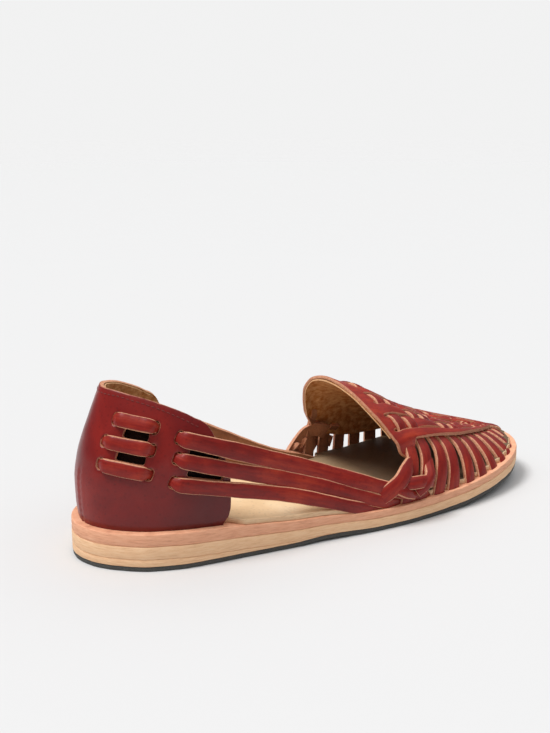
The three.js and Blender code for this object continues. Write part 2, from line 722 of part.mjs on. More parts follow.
const insoleCuts = joined([
  counterWall(COUNTER_WALL + GAP, COUNTER_CLEAR_OUTSIDE, GAP, COUNTER_CLEAR_BELOW),
  ...strips(STRAP_ROOM),
  ...straps(STRAP_ROOM),
  ...ties(STRAP_ROOM),
]);
const insole = soleLayer(seat, (x) => seat(x) + INSOLE, 0.9).subtract(insoleCuts);

// ---- Scene graph ----
const finish = (color, roughness) => new THREE.MeshStandardMaterial({ color, roughness, metalness: 0 });
const BRANDY = finish("#8f2a20", 0.36);
const BRANDY_STRAP = finish("#a5331f", 0.4);
const TAN = finish("#d2a884", 0.75);
const ROSE_TAN = finish("#cd8c70", 0.75);
const FOOTBED = finish("#e6c89b", 0.7);
const RUBBER_GREY = finish("#4b4b46", 0.9);

const sandal = new THREE.Group();

function place(name, solid, material) {
  const { vertProperties, triVerts } = solid.getMesh();
  const geometry = new THREE.BufferGeometry();
  geometry.setAttribute("position", new THREE.BufferAttribute(vertProperties, 3));
  geometry.setIndex(new THREE.BufferAttribute(triVerts, 1));
  geometry.computeVertexNormals();
  const mesh = new THREE.Mesh(geometry, material);
  mesh.name = name;
  sandal.add(mesh);
}

place("outsole", outsole, RUBBER_GREY);
place("heel_lift", heelLift, TAN);
place("midsole", midsole, TAN);
place("welt", welt, ROSE_TAN);
place("insole", insole, FOOTBED);
place("heel_counter", heelCounter, BRANDY);
place("woven_upper", wovenUpper, BRANDY_STRAP);

// The frame's origin is under the middle of the finished sandal, on the floor.
const extent = new THREE.Box3().setFromObject(sandal);
sandal.position.set(-(extent.min.x + extent.max.x) / 2, -(extent.min.y + extent.max.y) / 2, -extent.min.z);

export default sandal;
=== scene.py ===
# A woven leather huarache sandal for the right foot: stacked leather sole on thin rubber, a moulded heel
# counter with three straps threaded through each side, and a vamp whose fingers are cut from one apron.
# Shapes are worked out in millimetres, with x from the back of the heel towards the toe, y from the
# lateral side (-) to the medial side (+) and z up from the floor. to_frame() moves them to the frame.
import math
import random

import bpy
import numpy as np
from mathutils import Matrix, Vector
from mathutils.geometry import delaunay_2d_cdt


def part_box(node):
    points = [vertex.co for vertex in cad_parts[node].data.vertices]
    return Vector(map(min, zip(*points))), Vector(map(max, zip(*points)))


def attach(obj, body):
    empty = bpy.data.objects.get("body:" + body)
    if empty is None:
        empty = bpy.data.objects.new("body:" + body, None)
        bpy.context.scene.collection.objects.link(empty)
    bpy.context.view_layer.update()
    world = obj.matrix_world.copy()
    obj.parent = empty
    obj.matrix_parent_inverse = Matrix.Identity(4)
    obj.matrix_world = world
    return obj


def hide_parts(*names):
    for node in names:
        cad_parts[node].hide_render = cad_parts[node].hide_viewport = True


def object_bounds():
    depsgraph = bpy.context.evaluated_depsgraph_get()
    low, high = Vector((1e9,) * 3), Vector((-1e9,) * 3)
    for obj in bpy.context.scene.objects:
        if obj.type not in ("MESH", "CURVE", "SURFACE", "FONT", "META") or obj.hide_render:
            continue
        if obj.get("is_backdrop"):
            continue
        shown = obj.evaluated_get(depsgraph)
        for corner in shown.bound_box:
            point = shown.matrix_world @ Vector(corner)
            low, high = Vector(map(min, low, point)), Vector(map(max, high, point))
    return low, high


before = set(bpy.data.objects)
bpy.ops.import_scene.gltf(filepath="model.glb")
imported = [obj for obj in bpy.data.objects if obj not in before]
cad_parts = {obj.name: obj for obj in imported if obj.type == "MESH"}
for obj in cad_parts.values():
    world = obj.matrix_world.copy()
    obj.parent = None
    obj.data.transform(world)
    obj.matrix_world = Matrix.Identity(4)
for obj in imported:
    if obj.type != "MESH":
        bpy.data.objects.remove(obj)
CAD_LOW, CAD_HIGH = (Vector(corner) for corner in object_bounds())

MM = 0.001
BODY = "root"

# ---- Sizes, in millimetres ----
LENGTH = 250.0
RUBBER = 2.3
LIFT = 3.4  # heel lift, at the back
LIFT_FULL_TO = 30.0
LIFT_END = 112.0
MIDSOLE_HEEL, MIDSOLE_TOE = 5.9, 4.3
WELT_HEEL, WELT_TOE = 5.7, 3.5
THIN_FROM, THIN_TO = 45.0, 145.0  # midsole and welt thin down between these
INSOLE = 2.4
TOE_SPRING, SPRING_FROM, SPRING_POWER = 7.6, 168.0, 1.4
ARCH_RISE, ARCH_FROM, ARCH_TO = 0.9, 84.0, 136.0
EDGE_ROUND = 0.55  # radius of each layer's sanded corners

COUNTER_WALL = 2.2
COUNTER_ROOT = 75.0  # the counter's lean fades out this far forward
COUNTER_NARROW = 0.905

UPPER_MARGIN = 1.4
UPPER_BACK, UPPER_TOE, RIDGE_TOE = 128.0, 247.0, 225.0
WEAVE_WALL = 1.7
WEAVE_LIFT = 1.05  # an upper strip stands this far above the last, an under one as far below
SIDE_DEPTH = 1.2  # middle of a side strip under the last's surface
FINGERS = 5  # on each side of the one along the ridge
BORDER_PART = 0.72  # width of the border beside a finger's
FINGER_UNITS = FINGERS - 0.5 + BORDER_PART
SHEET_LONG, SHEET_HALF = 100.0, 37.0  # the vamp's flat pattern
RIDGE_FAN = 1.12  # the strips crowd together a little towards the toe
FINGER_SWELL = 0.42
BORDER_TURN_DOWN = 2.9
STRIP_WALL = 1.8
WRAP_WIDTHS = (7.6, 6.2, 5.6, 5.4)
STRAP_END_IN = 2.4  # a strap's end lies this much further in, between the layers of the sole

LINING_WALL = 0.8
LINING_ROOM = 2.7  # between shell and lining, for the straps
TUNNEL_GAP = 0.35  # between the shell and a strap behind it
TONGUE_WALL = 0.9

SEAM_TOP = 45.0
SEAM_AT = -1.8  # the back seam lies a little to the lateral side
STITCH_PITCH, STITCH_LONG, THREAD_THICK = 2.3, 1.7, 0.42
COLLAR_STITCH_DOWN = 2.3

# ---- Finish and light ----
LEATHER_SHINE = 0.24
FOOTBED_PAINTED_SHADE = (118.0, 158.0)  # painted shade under the vamp: the footbed darkens from here to here
FLOOR_TONE = 0.675
FLOOR_REACH = 12.0  # metres each way
FLOOR_FADES = (0.7, 2.2)  # metres from the shoe
SKY = (
    (0.0, (0.14, 0.14, 0.15)), (0.35, (0.16, 0.16, 0.17)), (0.75, (0.85, 0.85, 0.85)), (1.0, (1.0, 1.0, 1.0)),
)  # height above the horizon, and how bright the sky is there
SKY_LIGHT = 1.12
SUN_LIGHT = 2.10
SUN_FROM = (-0.52, 0.06, 1.0)
SUN_SOFT = math.radians(20)
BACKDROP = 0.885

# ---- Camera: metres and radians ----
CAMERA_PLACE = (-0.31071, -0.48905, 0.22797)
CAMERA_TURN = math.radians(30.57)  # from +Y towards +X
CAMERA_DOWN = math.radians(15.08)
CAMERA_LENS = 61.18


def rows(names, *values):
    """A table with named columns."""
    return [dict(zip(names.split(), row)) for row in values]


OUTLINE = rows(
    "x half middle",
    (0, 0, 0), (12, 22.8, -0.2), (25, 30.6, -0.9), (45, 34.4, -1.9), (75, 34.6, -4.0),
    (100, 34.9, -5.6), (130, 38.4, -4.5), (160, 42.0, -0.9), (185, 41.9, 1.4), (205, 39.0, 2.3),
    (220, 34.4, 2.9), (232, 28.4, 3.4), (241, 21.2, 3.8), (247, 12.6, 4.0), (250, 0, 4.0),
)
COUNTER_SECTIONS = rows(
    "z lean width front",
    (17, 3.5, 1.0, 57.0), (20, 3.1, 1.005, 59.4), (25, 2.5, 1.01, 60.4), (36, 2.2, 1.0, 60.6),
    (46, 3.6, 0.975, 58.9), (57, 6.8, 0.915, 54.6), (62, 8.8, 0.88, 52.2), (66, 10.4, 0.84, 48.2),
    (79, 15.6, 0.7, 44),
)
COLLAR = rows(
    "x z",
    (0, 78), (16, 78), (23, 76.4), (29, 74.6), (36, 71.7), (43.5, 68), (48.5, 64.8),
)
RIDGE = rows(
    "x z y",
    (128, 66.6, 4.5), (138, 63.2, 4.5), (150, 58.0, 4.4), (165, 49.6, 4.2), (184, 38.8, 4),
    (200, 31.0, 4), (212, 26.8, 4), (225, 23.2, 4),
)
THROAT = rows(
    "across x",
    (0, 152), (0.1, 147.5), (0.2, 143.5), (0.3, 141), (0.4, 138.8), (0.5, 136.8),
    (0.6, 134.2), (0.7, 132.6), (0.8, 132.6), (0.9, 134.8), (1, 138.5),
)
BORDER = rows(
    "x lateral medial",
    (128, 0.35, 0.4), (150, 0.35, 0.34), (182, 0.4, 0.28), (205, 0.43, 0.31), (222, 0.44, 0.38),
    (234, 0.47, 0.44), (247, 0.5, 0.5),
)
# Cross strips, from the ball to the toe: foot and head on each side, and where they pass the ridge.
CROSS_STRIPS = rows(
    "lateral_foot lateral_head ridge medial_head medial_foot width",
    (152.5, 159, 153.5, 146, 143, 7.2),
    (161.5, 167.5, 162, 155.5, 154, 7.0),
    (173, 176.5, 171, 165, 165, 7.0),
    (182.5, 184, 179, 174.5, 176, 7.2),
    (194.5, 193, 188, 184, 187, 7.0),
    (204.5, 201.5, 197, 193.5, 198, 7.0),
    (214.5, 210, 206, 203, 208.5, 7.0),
    (224, 218, 214.5, 212, 218.5, 6.8),
    (232.5, 225.5, 221.5, 220.5, 228, 6.6),
)
# Spokes that close the toe, from the sole up to the end of the ridge.
TOE_SPOKES = rows(
    "side foot head width",
    (-1, 239.5, 232, 6.4), (-1, 244.5, 237.5, 6.2), (1, 236, 228.5, 6.4), (1, 242, 234.5, 6.2),
    (1, 245.8, 240, 6.0), (-1, 247, 245, 6.2),
)
# Side straps, from their hidden end behind the counter to the ball. "out" is the side of the counter's
# wall that the strap runs on: 1 outside, -1 inside, 0 past the counter.
STRAP_ROUTES = {
    "top": rows(
        "x z width out",
        (14.5, 66.6, 6.2, -1), (17.5, 66.2, 6.4, 1), (27.5, 63.9, 6.6, 1), (31, 62.6, 6.6, -1),
        (36.5, 59.6, 6.8, -1), (41, 57.4, 7.2, 1), (58, 51.4, 8.0, 1), (88, 39.8, 8.2, 0),
        (109, 31.6, 8.0, 0), (128, 24.4, 7.4, 0), (146, 17.4, 6.8, 0), (160, 11.8, 6.2, 0),
        (172, 7.5, 5.6, 0),
    ),
    "middle": rows(
        "x z width out",
        (9, 57.2, 6.2, -1), (12.5, 56.8, 6.4, 1), (24.5, 54.6, 6.6, 1), (28.5, 53.4, 6.6, -1),
        (34.5, 50.8, 6.6, -1), (39, 48.6, 7.0, 1), (60, 41.8, 7.4, 1), (88, 32.4, 7.6, 0),
        (109, 24.8, 7.2, 0), (125, 18.6, 6.8, 0), (139, 13.2, 6.2, 0), (152, 8.8, 5.6, 0),
        (162, 6.0, 5.0, 0),
    ),
    "low": rows(
        "x z width out",
        (6.5, 47.4, 6.2, -1), (9.5, 47, 6.4, 1), (22, 44.4, 6.6, 1), (26.5, 42.9, 6.6, -1),
        (32, 40.4, 6.6, -1), (36.5, 38.4, 6.8, 1), (60, 32.8, 7.0, 1), (88, 25.6, 7.0, 0),
        (109, 18.6, 6.6, 0), (122, 14.0, 6.2, 0), (134, 10.0, 5.8, 0), (146, 6.4, 5.2, 0),
    ),
}
# For each strap: wall, how far out it lies at the ball, how far it leans in over the foot at the waist, and
# how much lower it runs on the medial side.
STRAP_LIE = {"top": (2.8, -1.1, 3.0, 4.5), "middle": (2.1, 0.0, 1.5, 3.0), "low": (1.9, 1.1, 0.0, 1.2)}
LEAN = rows("x share", (58, 0), (86, 1), (104, 1), (136, 0))
# The medial side's slits lie further forward, and its straps come down nearer the heel.
MEDIAL_FORWARD, FORWARD_UP_TO, FORWARD_NO_MORE = 5.0, 42, 62
MEDIAL_SHORT, SHORT_FROM, SHORT_FULL = 9.0, 85, 125
DROP_FROM, DROP_FULL = 40, 80
TUCK = rows("x inset", (58, 3.4), (88, 3.2), (109, 2.9), (128, 2.6), (160, 2.6))
COUNTER_WINDOWS = rows(
    "from_x from_z to_x to_z height drop",
    (17.5, 61.2, 26.0, 59.2, 3.8, 0), (13.5, 51.5, 23.5, 49.5, 4.0, 0), (42.5, 52.4, 56.0, 47.4, 3.6, 3.7),
    (40.5, 42.8, 57.0, 38.4, 3.0, 2.1),
)
# Wraps that bind the straps to the vamp at the ball: a short route each, with its distance out of the
# sole's tuck line.
BALL_WRAPS = [
    rows(
        "x z out",
        (162, 25.5, -5.5), (157.5, 27.4, -4.2), (152.5, 26.8, -0.6),
        (147, 22.6, 1.6), (141, 18.2, 1.0), (136, 14.4, -0.9),
    ),
    rows(
        "x z out",
        (149, 20.8, 0.0), (154, 20.6, 2.4), (160.5, 20.2, 2.8), (166.5, 18.4, 1.0), (169, 17.4, -1.5),
    ),
    rows(
        "x z out",
        (169, 27.5, -5.0), (168, 25.0, -2.6), (165.5, 21.8, 1.6), (161.0, 18.4, 3.3), (156.5, 15.2, 2.4),
    ),
    rows("x z out", (142.5, 20.5, -0.6), (146.5, 18.6, 2.2), (151.0, 16.2, 2.6), (156, 14.2, 1.0)),
]


# ---- Curves ----
def clamp(value, low, high):
    return max(low, min(high, value))


def mix(a, b, t):
    return a + (b - a) * t


def smooth(value, start, end):
    t = clamp((value - start) / (end - start), 0, 1)
    return t * t * (3 - 2 * t)


def column(table, source, key, ease=lambda value: value):
    """A smooth curve through one column of a table that never overshoots its rows."""
    places = [ease(row[source]) for row in table]
    values = [row[key] for row in table]
    last = len(places) - 1

    def slope(i):
        return (values[i + 1] - values[i]) / (places[i + 1] - places[i])

    def tangent(i):
        if i == 0 or i == last:
            return slope(min(i, last - 1))
        before, after = slope(i - 1), slope(i)
        return 0 if before * after <= 0 else 2 * before * after / (before + after)

    tangents = [tangent(i) for i in range(last + 1)]

    def at(distance):
        x = clamp(ease(distance), places[0], places[last])
        i = 0
        while i < last - 1 and x > places[i + 1]:
            i += 1
        width = places[i + 1] - places[i]
        t = (x - places[i]) / width
        bow = t * (1 - t) ** 2 * tangents[i] - t * t * (1 - t) * tangents[i + 1]
        return mix(values[i], values[i + 1], t * t * (3 - 2 * t)) + bow * width

    return at


def rounded_share(x, length):
    return math.acos(clamp(1 - 2 * x / length, -1, 1)) / math.pi


def rounded_place(share, length):
    return length * (1 - math.cos(math.pi * share)) / 2


def unit(vector):
    return vector / max(np.linalg.norm(vector), 1e-9)


# ---- Sole lines ----
half_width = column(OUTLINE, "x", "half", lambda x: rounded_share(x, LENGTH))
middle_line = column(OUTLINE, "x", "middle")
lateral_most = min(middle_line(x) - half_width(x) for x in range(0, 251))
medial_most = max(middle_line(x) + half_width(x) for x in range(0, 251))
sole_low, sole_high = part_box("midsole")
HEEL_X = CAD_LOW.x
AXIS_Y = (sole_low.y + sole_high.y) / 2 - MM * (lateral_most + medial_most) / 2


def to_frame(points):
    return np.asarray(points, float) * MM + np.array([HEEL_X, AXIS_Y, 0.0])


def outline_point(share, side):
    x = rounded_place(clamp(share, 0, 1), LENGTH)
    return np.array([x, middle_line(x) + side * half_width(x)])


def edge_point(share, side, inset):
    """A point of the sole's edge moved in square to it. side is -1 on the lateral edge, 1 on the medial."""
    point = outline_point(share, side)
    if share <= 0:
        return point + [inset, 0]
    if share >= 1:
        return point - [inset, 0]
    along = unit(outline_point(share + 1e-3, side) - outline_point(share - 1e-3, side))
    return point + np.array([side * along[1], -side * along[0]]) * inset


def ground(x):
    toe = clamp((x - SPRING_FROM) / (LENGTH - SPRING_FROM), 0, 1)
    shank = clamp((x - ARCH_FROM) / (ARCH_TO - ARCH_FROM), 0, 1)
    return TOE_SPRING * toe**SPRING_POWER + ARCH_RISE * math.sin(math.pi * shank) ** 2


def thinned(x):
    return smooth(x, THIN_FROM, THIN_TO)


def rubber_top(x):
    return ground(x) + RUBBER


def lift_top(x):
    return rubber_top(x) + LIFT * clamp((LIFT_END - x) / (LIFT_END - LIFT_FULL_TO), 0, 1)


def midsole_top(x):
    return lift_top(x) + mix(MIDSOLE_HEEL, MIDSOLE_TOE, thinned(x))


def seat(x):
    return midsole_top(x) + mix(WELT_HEEL, WELT_TOE, thinned(x)) + 0.1


# ---- Building meshes ----
FACE, RIM, FLESH = 0, 1, 2  # material places: the leather's face, its cut edge and its flesh side


class Leather:
    """Gathers the points and faces of one piece. "rim" is 1 on a cut edge and fades on the face."""

    def __init__(self):
        self.points, self.rim, self.run = [], [], []
        self.faces, self.kinds = [], []

    def add(self, points, faces, kinds, rim, run=None):
        start = len(self.points)
        self.points.extend(points)
        self.rim.extend(rim)
        self.run.extend(run if run is not None else [(0.0, 0.0)] * len(points))
        self.faces.extend([tuple(start + i for i in face) for face in faces])
        self.kinds.extend(kinds)

    def piece(self, name, materials, slot, replaces=(), sharp=48):
        mesh = bpy.data.meshes.new(name)
        mesh.from_pydata(to_frame(self.points).tolist(), [], self.faces)
        for material in materials:
            mesh.materials.append(material)
        mesh.polygons.foreach_set("material_index", self.kinds)
        rim = mesh.attributes.new("rim", "FLOAT", "POINT")
        rim.data.foreach_set("value", [float(value) for value in self.rim])
        layer = mesh.uv_layers.new(name="run")
        run = np.array(self.run, float)
        loops = np.zeros(len(mesh.loops), int)
        mesh.loops.foreach_get("vertex_index", loops)
        layer.data.foreach_set("uv", run[loops].ravel() * MM)
        mesh.validate()
        return finished(name, mesh, replaces, sharp)


def finished(name, mesh, replaces=(), sharp=48):
    """Names a finished mesh's object and puts it on the body."""
    mesh.polygons.foreach_set("use_smooth", [True] * len(mesh.polygons))
    mesh.set_sharp_from_angle(angle=math.radians(sharp))
    piece = bpy.data.objects.new(name, mesh)
    bpy.context.scene.collection.objects.link(piece)
    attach(piece, BODY)
    if replaces:
        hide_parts(*replaces)
    return piece


def strip_profile(width, wall, crown):
    """Section of a cut strip: (across, height, kind of the face that follows, rim)."""
    w, t, c = width / 2, wall / 2, crown
    return [
        (-w + 0.1, -t, RIM, 1.0),
        (-w, -0.1 * t, RIM, 1.0),
        (-w + 0.06, t - 0.5, RIM, 1.0),
        (-w + 0.3, t - 0.12, FACE, 0.8),
        (-w + 0.85, t + 0.06, FACE, 0.15),
        (-w * 0.45, t + c * 0.8, FACE, 0.0),
        (0.0, t + c, FACE, 0.0),
        (w * 0.45, t + c * 0.8, FACE, 0.0),
        (w - 0.85, t + 0.06, FACE, 0.15),
        (w - 0.3, t - 0.12, RIM, 0.8),
        (w - 0.06, t - 0.5, RIM, 1.0),
        (w, -0.1 * t, RIM, 1.0),
        (w - 0.1, -t, FLESH, 1.0),
        (0.0, -t - 0.05, FLESH, 0.0),
    ]


def strip(leather, path, normals, widths, wall, crown=0.22, seed=1):
    """Sweeps a strip's section along a path, with the small unevenness of a strip cut by hand."""
    path, normals = np.asarray(path, float), np.asarray(normals, float)
    count = len(path)
    rng = random.Random(seed)
    phases = [rng.uniform(0, math.tau) for _ in range(4)]
    run = np.concatenate([[0], np.cumsum(np.linalg.norm(np.diff(path, axis=0), axis=1))])
    offset = rng.uniform(0, 400)
    points, rim, uv, faces, kinds = [], [], [], [], []
    sides = 0
    for i in range(count):
        along = unit(path[min(i + 1, count - 1)] - path[max(i - 1, 0)])
        across = unit(np.cross(along, normals[i]))
        up = np.cross(across, along)
        s = run[i]
        roll = 0.05 * math.sin(s / 9 + phases[0])
        turned = across * math.cos(roll) + up * math.sin(roll)
        up = up * math.cos(roll) - across * math.sin(roll)
        across = turned
        width = widths[i] * (1 + 0.02 * math.sin(s / 5 + phases[1]) + 0.012 * math.sin(s / 1.9 + phases[2]))
        profile = strip_profile(width, wall, crown)
        sides = len(profile)
        for a, h, _, r in profile:
            points.append(path[i] + across * a + up * h)
            rim.append(r)
            uv.append((offset + s, a))
    for i in range(count - 1):
        for k in range(sides):
            a, b = i * sides + k, i * sides + (k + 1) % sides
            faces.append((a, a + sides, b + sides, b))
            kinds.append(profile[k][2])
    faces.append(tuple(range(sides)))
    faces.append(tuple(reversed(range((count - 1) * sides, count * sides))))
    kinds.extend([RIM, RIM])
    leather.add(points, faces, kinds, rim, uv)


def resampled(points, spacing, closed=True):
    """Even points along a polygon or a line."""
    points = np.asarray(points, float)
    if closed:
        points = np.vstack([points, points[:1]])
    run = np.concatenate([[0], np.cumsum(np.linalg.norm(np.diff(points, axis=0), axis=1))])
    count = max(int(round(run[-1] / spacing)), 3)
    places = np.linspace(0, run[-1], count + 1)
    even = np.stack([np.interp(places, run, points[:, k]) for k in range(points.shape[1])], axis=1)
    return even[:-1] if closed else even


def inside(polygon, points):
    """Which points lie in a polygon, by crossings."""
    result = np.zeros(len(points), bool)
    x, y = points[:, 0], points[:, 1]
    for (ax, ay), (bx, by) in zip(polygon, np.roll(polygon, -1, axis=0)):
        if ay == by:
            continue
        crossing = ((ay > y) != (by > y)) & (x < (bx - ax) * (y - ay) / (by - ay) + ax)
        result ^= crossing
    return result


def distance_to(polygons, points):
    nearest = np.full(len(points), 1e9)
    for polygon in polygons:
        for start in range(0, len(points), 2000):
            block = points[start : start + 2000]
            a, b = polygon, np.roll(polygon, -1, axis=0)
            ab = b - a
            t = ((block[:, None] - a) * ab).sum(2) / np.maximum((ab * ab).sum(1), 1e-12)
            close = a + np.clip(t, 0, 1)[:, :, None] * ab
            gap = np.linalg.norm(block[:, None] - close, axis=2).min(1)
            nearest[start : start + 2000] = np.minimum(nearest[start : start + 2000], gap)
    return nearest


def cut_sheet(leather, outline, holes, place, wall, spacing=1.5, cut=0.8, rounding=0.45):
    """A sheet cut from a flat pattern with holes, laid on a surface. place(u, v) gives point and normal."""
    outline = resampled(outline, cut)
    holes = [resampled(hole, min(cut, 0.7)) for hole in holes]
    polygons = [outline, *holes]
    low, high = outline.min(0), outline.max(0)
    us = np.arange(low[0] + spacing / 2, high[0], spacing)
    vs = np.arange(low[1] + spacing / 2, high[1], spacing)
    grid = np.array([(u + (spacing / 2 if j % 2 else 0), v) for j, v in enumerate(vs) for u in us])
    rings = []
    for polygon in polygons:
        ahead, behind = np.roll(polygon, -1, axis=0), np.roll(polygon, 1, axis=0)
        along = ahead - behind
        square = np.stack([along[:, 1], -along[:, 0]], axis=1)
        square /= np.maximum(np.linalg.norm(square, axis=1, keepdims=True), 1e-9)
        for distance in (rounding * 0.35, rounding):
            for sign in (-1, 1):
                rings.append(polygon + square * distance * sign)
    rings = np.vstack(rings)

    def leather_at(points):
        kept = inside(outline, points)
        for hole in holes:
            kept &= ~inside(hole, points)
        return kept

    rings = rings[leather_at(rings)]
    rings = rings[distance_to(polygons, rings) > rounding * 0.3]
    grid = grid[leather_at(grid)]
    grid = grid[distance_to(polygons, grid) > max(rounding * 1.5, spacing * 0.45)]
    flat = np.vstack([*polygons, rings, grid])
    edges, start = [], 0
    for polygon in polygons:
        n = len(polygon)
        edges += [(start + i, start + (i + 1) % n) for i in range(n)]
        start += n
    made = delaunay_2d_cdt([Vector(p) for p in flat], edges, [], 0, 1e-5)
    flat = np.array([tuple(p) for p in made[0]])
    triangles = np.array([tuple(face) for face in made[2]])
    triangles = triangles[leather_at(flat[triangles].mean(1))]
    a, b, c = (flat[triangles[:, k]] for k in range(3))
    area = (b[:, 0] - a[:, 0]) * (c[:, 1] - a[:, 1]) - (b[:, 1] - a[:, 1]) * (c[:, 0] - a[:, 0])
    triangles = triangles[np.abs(area) > 1e-7]
    area = area[np.abs(area) > 1e-7]
    triangles[area < 0] = triangles[area < 0][:, ::-1]
    depth = distance_to(polygons, flat)
    count = len(flat)
    top, under, rim, uv = [], [], [], []
    for (u, v), d in zip(flat, depth):
        point, normal = place(u, v)
        t = clamp(d / rounding, 0, 1)
        drop = rounding * 0.8 * (1 - math.sqrt(max(1 - (1 - t) ** 2, 0)))
        top.append(point - normal * drop)
        under.append(point - normal * (wall - drop * 0.4))
        rim.append(clamp(1.15 - d / (rounding * 1.7), 0, 1))
        uv.append((u, v))
    point, normal = place(*flat[triangles[0]].mean(0))
    corners = [top[i] for i in triangles[0]]
    facing = np.dot(np.cross(corners[1] - corners[0], corners[2] - corners[0]), normal) > 0
    if not facing:
        triangles = triangles[:, ::-1]
    faces = [tuple(t) for t in triangles]
    kinds = [FACE] * len(faces)
    faces += [tuple(count + i for i in reversed(t)) for t in triangles]
    kinds += [FLESH] * len(triangles)
    seen = {}
    for t in triangles:
        for k in range(3):
            a, b = int(t[k]), int(t[(k + 1) % 3])
            seen[(a, b)] = True
    for a, b in seen:
        if (b, a) not in seen:
            faces.append((b, a, a + count, b + count))
            kinds.append(RIM)
    leather.add(top + under, faces, kinds, rim + [1.0] * count, uv + uv)


def rounded_slot(start, end, height, corner=None):
    """A slot with round ends from one point to another, as a polygon."""
    start, end = np.asarray(start, float), np.asarray(end, float)
    along = unit(end - start)
    square = np.array([-along[1], along[0]])
    r = corner or height / 2
    points = []
    for centre, turn in ((end - along * r, 0), (start + along * r, math.pi)):
        for side in (-1, 1):
            c = centre + square * side * (height / 2 - r) * (1 if turn == 0 else -1)
            for step in range(5):
                angle = turn + (math.pi / 2) * (step / 4 + (side - 1) / 2)
                points.append(c + (along * math.cos(angle) + square * math.sin(angle)) * r)
    return np.array(points)


# ---- Sole ----
def footbed_notches():
    """Places on the sole's edge where strips and straps come down outside the footbed."""
    notches = []
    for row in CROSS_STRIPS:
        for side, key in ((-1, "lateral_foot"), (1, "medial_foot")):
            notches.append((side, foot_on_edge(row[key], side), row["width"]))
    for row in TOE_SPOKES:
        notches.append((row["side"], foot_on_edge(row["foot"], row["side"]), row["width"]))
    return notches


def foot_on_edge(foot, side):
    return outline_point(rounded_share(foot * LENGTH / UPPER_TOE, LENGTH), side)


def footbed_inset(share, side, notches):
    point = outline_point(share, side)
    x = point[0]
    inset = 0.9 + 5.4 * (1 - smooth(x, 58.5, 67.0)) + 2.3 * smooth(x, 145, 165)
    strap_x = x + (MEDIAL_SHORT if side > 0 else 0)
    inset += 4.2 * smooth(strap_x, 121, 125) * (1 - smooth(strap_x, 155, 159))
    notch = 0.0
    for row_side, foot, width in notches:
        if row_side == side or x > 240:
            gap = np.linalg.norm(point - foot)
            notch = max(notch, 0.8 * (1 - smooth(gap, width / 2, width / 2 + 2.2)))
    return inset + notch * (1 if x > 150 else 0)


def sole_layer(
    name, bottom, top, inset, materials, slot, replaces,
    end=LENGTH, stations=170, dish=None, corner=EDGE_ROUND,
):
    """One layer of the sole, with its sanded edge. inset may be a number or a function of share and side."""
    leather = Leather()
    last = rounded_share(end, LENGTH)
    shares = [clamp(last * i / stations, 0.003, 0.997) for i in range(stations + 1)]
    loop = [(s, -1) for s in shares] + [(s, 1) for s in reversed(shares)]
    count = len(loop)
    # the edge from the bottom face round to the top one: distance in, share of the height, and rounding
    levels = [
        (corner, 0, 0), (0.3 * corner, 0, 0.3), (0, 0, 1), (0, 0.5, 0),
        (0, 1, -1), (0.3 * corner, 1, -0.3), (corner, 1, 0),
    ]
    points, rim, uv, faces, kinds = [], [], [], [], []
    insets = [inset(s, side) if callable(inset) else inset for s, side in loop]
    run = 0.0
    runs = []
    for i, (s, side) in enumerate(loop):
        previous = outline_point(*loop[i - 1]) if i else outline_point(s, side)
        run += float(np.linalg.norm(outline_point(s, side) - previous))
        runs.append(run)
    for extra, share_up, lift in levels:
        for i, (s, side) in enumerate(loop):
            uneven = 0.05 * math.sin(runs[i] / 3.1) + 0.04 * math.sin(runs[i] / 1.3 + 1)
            p = edge_point(s, side, insets[i] + extra + uneven)
            low, high = bottom(p[0]), top(p[0])
            r = min(corner, (high - low) * 0.45)
            points.append(np.array([p[0], p[1], mix(low, high, share_up) + lift * r]))
            rim.append(1.0)
            uv.append((runs[i], points[-1][2]))
    for level in range(len(levels) - 1):
        for i in range(count):
            a, b = level * count + i, level * count + (i + 1) % count
            faces.append((a, a + count, b + count, b))
            kinds.append(RIM)
    columns = 12
    for level, upward in ((len(levels) - 1, True), (0, False)):
        ring = level * count
        start = len(points)
        for i in range(stations + 1):
            lateral, medial = points[ring + i], points[ring + count - 1 - i]
            for c in range(1, columns):
                t = c / columns
                p = lateral + (medial - lateral) * t
                if upward and dish:
                    p = p + np.array([0, 0, dish(p[0], t)])
                points.append(p)
                rim.append(0.0)
                uv.append((p[0], p[1]))

        def at(i, c):
            if c == 0:
                return ring + i
            if c == columns:
                return ring + count - 1 - i
            return start + i * (columns - 1) + c - 1

        for i in range(stations):
            for c in range(columns):
                face = (at(i, c), at(i, c + 1), at(i + 1, c + 1), at(i + 1, c))
                faces.append(face if not upward else tuple(reversed(face)))
                kinds.append(FACE)
    leather.add(points, faces, kinds, rim, uv)
    return leather.piece(name, materials, slot, replaces, sharp=40)


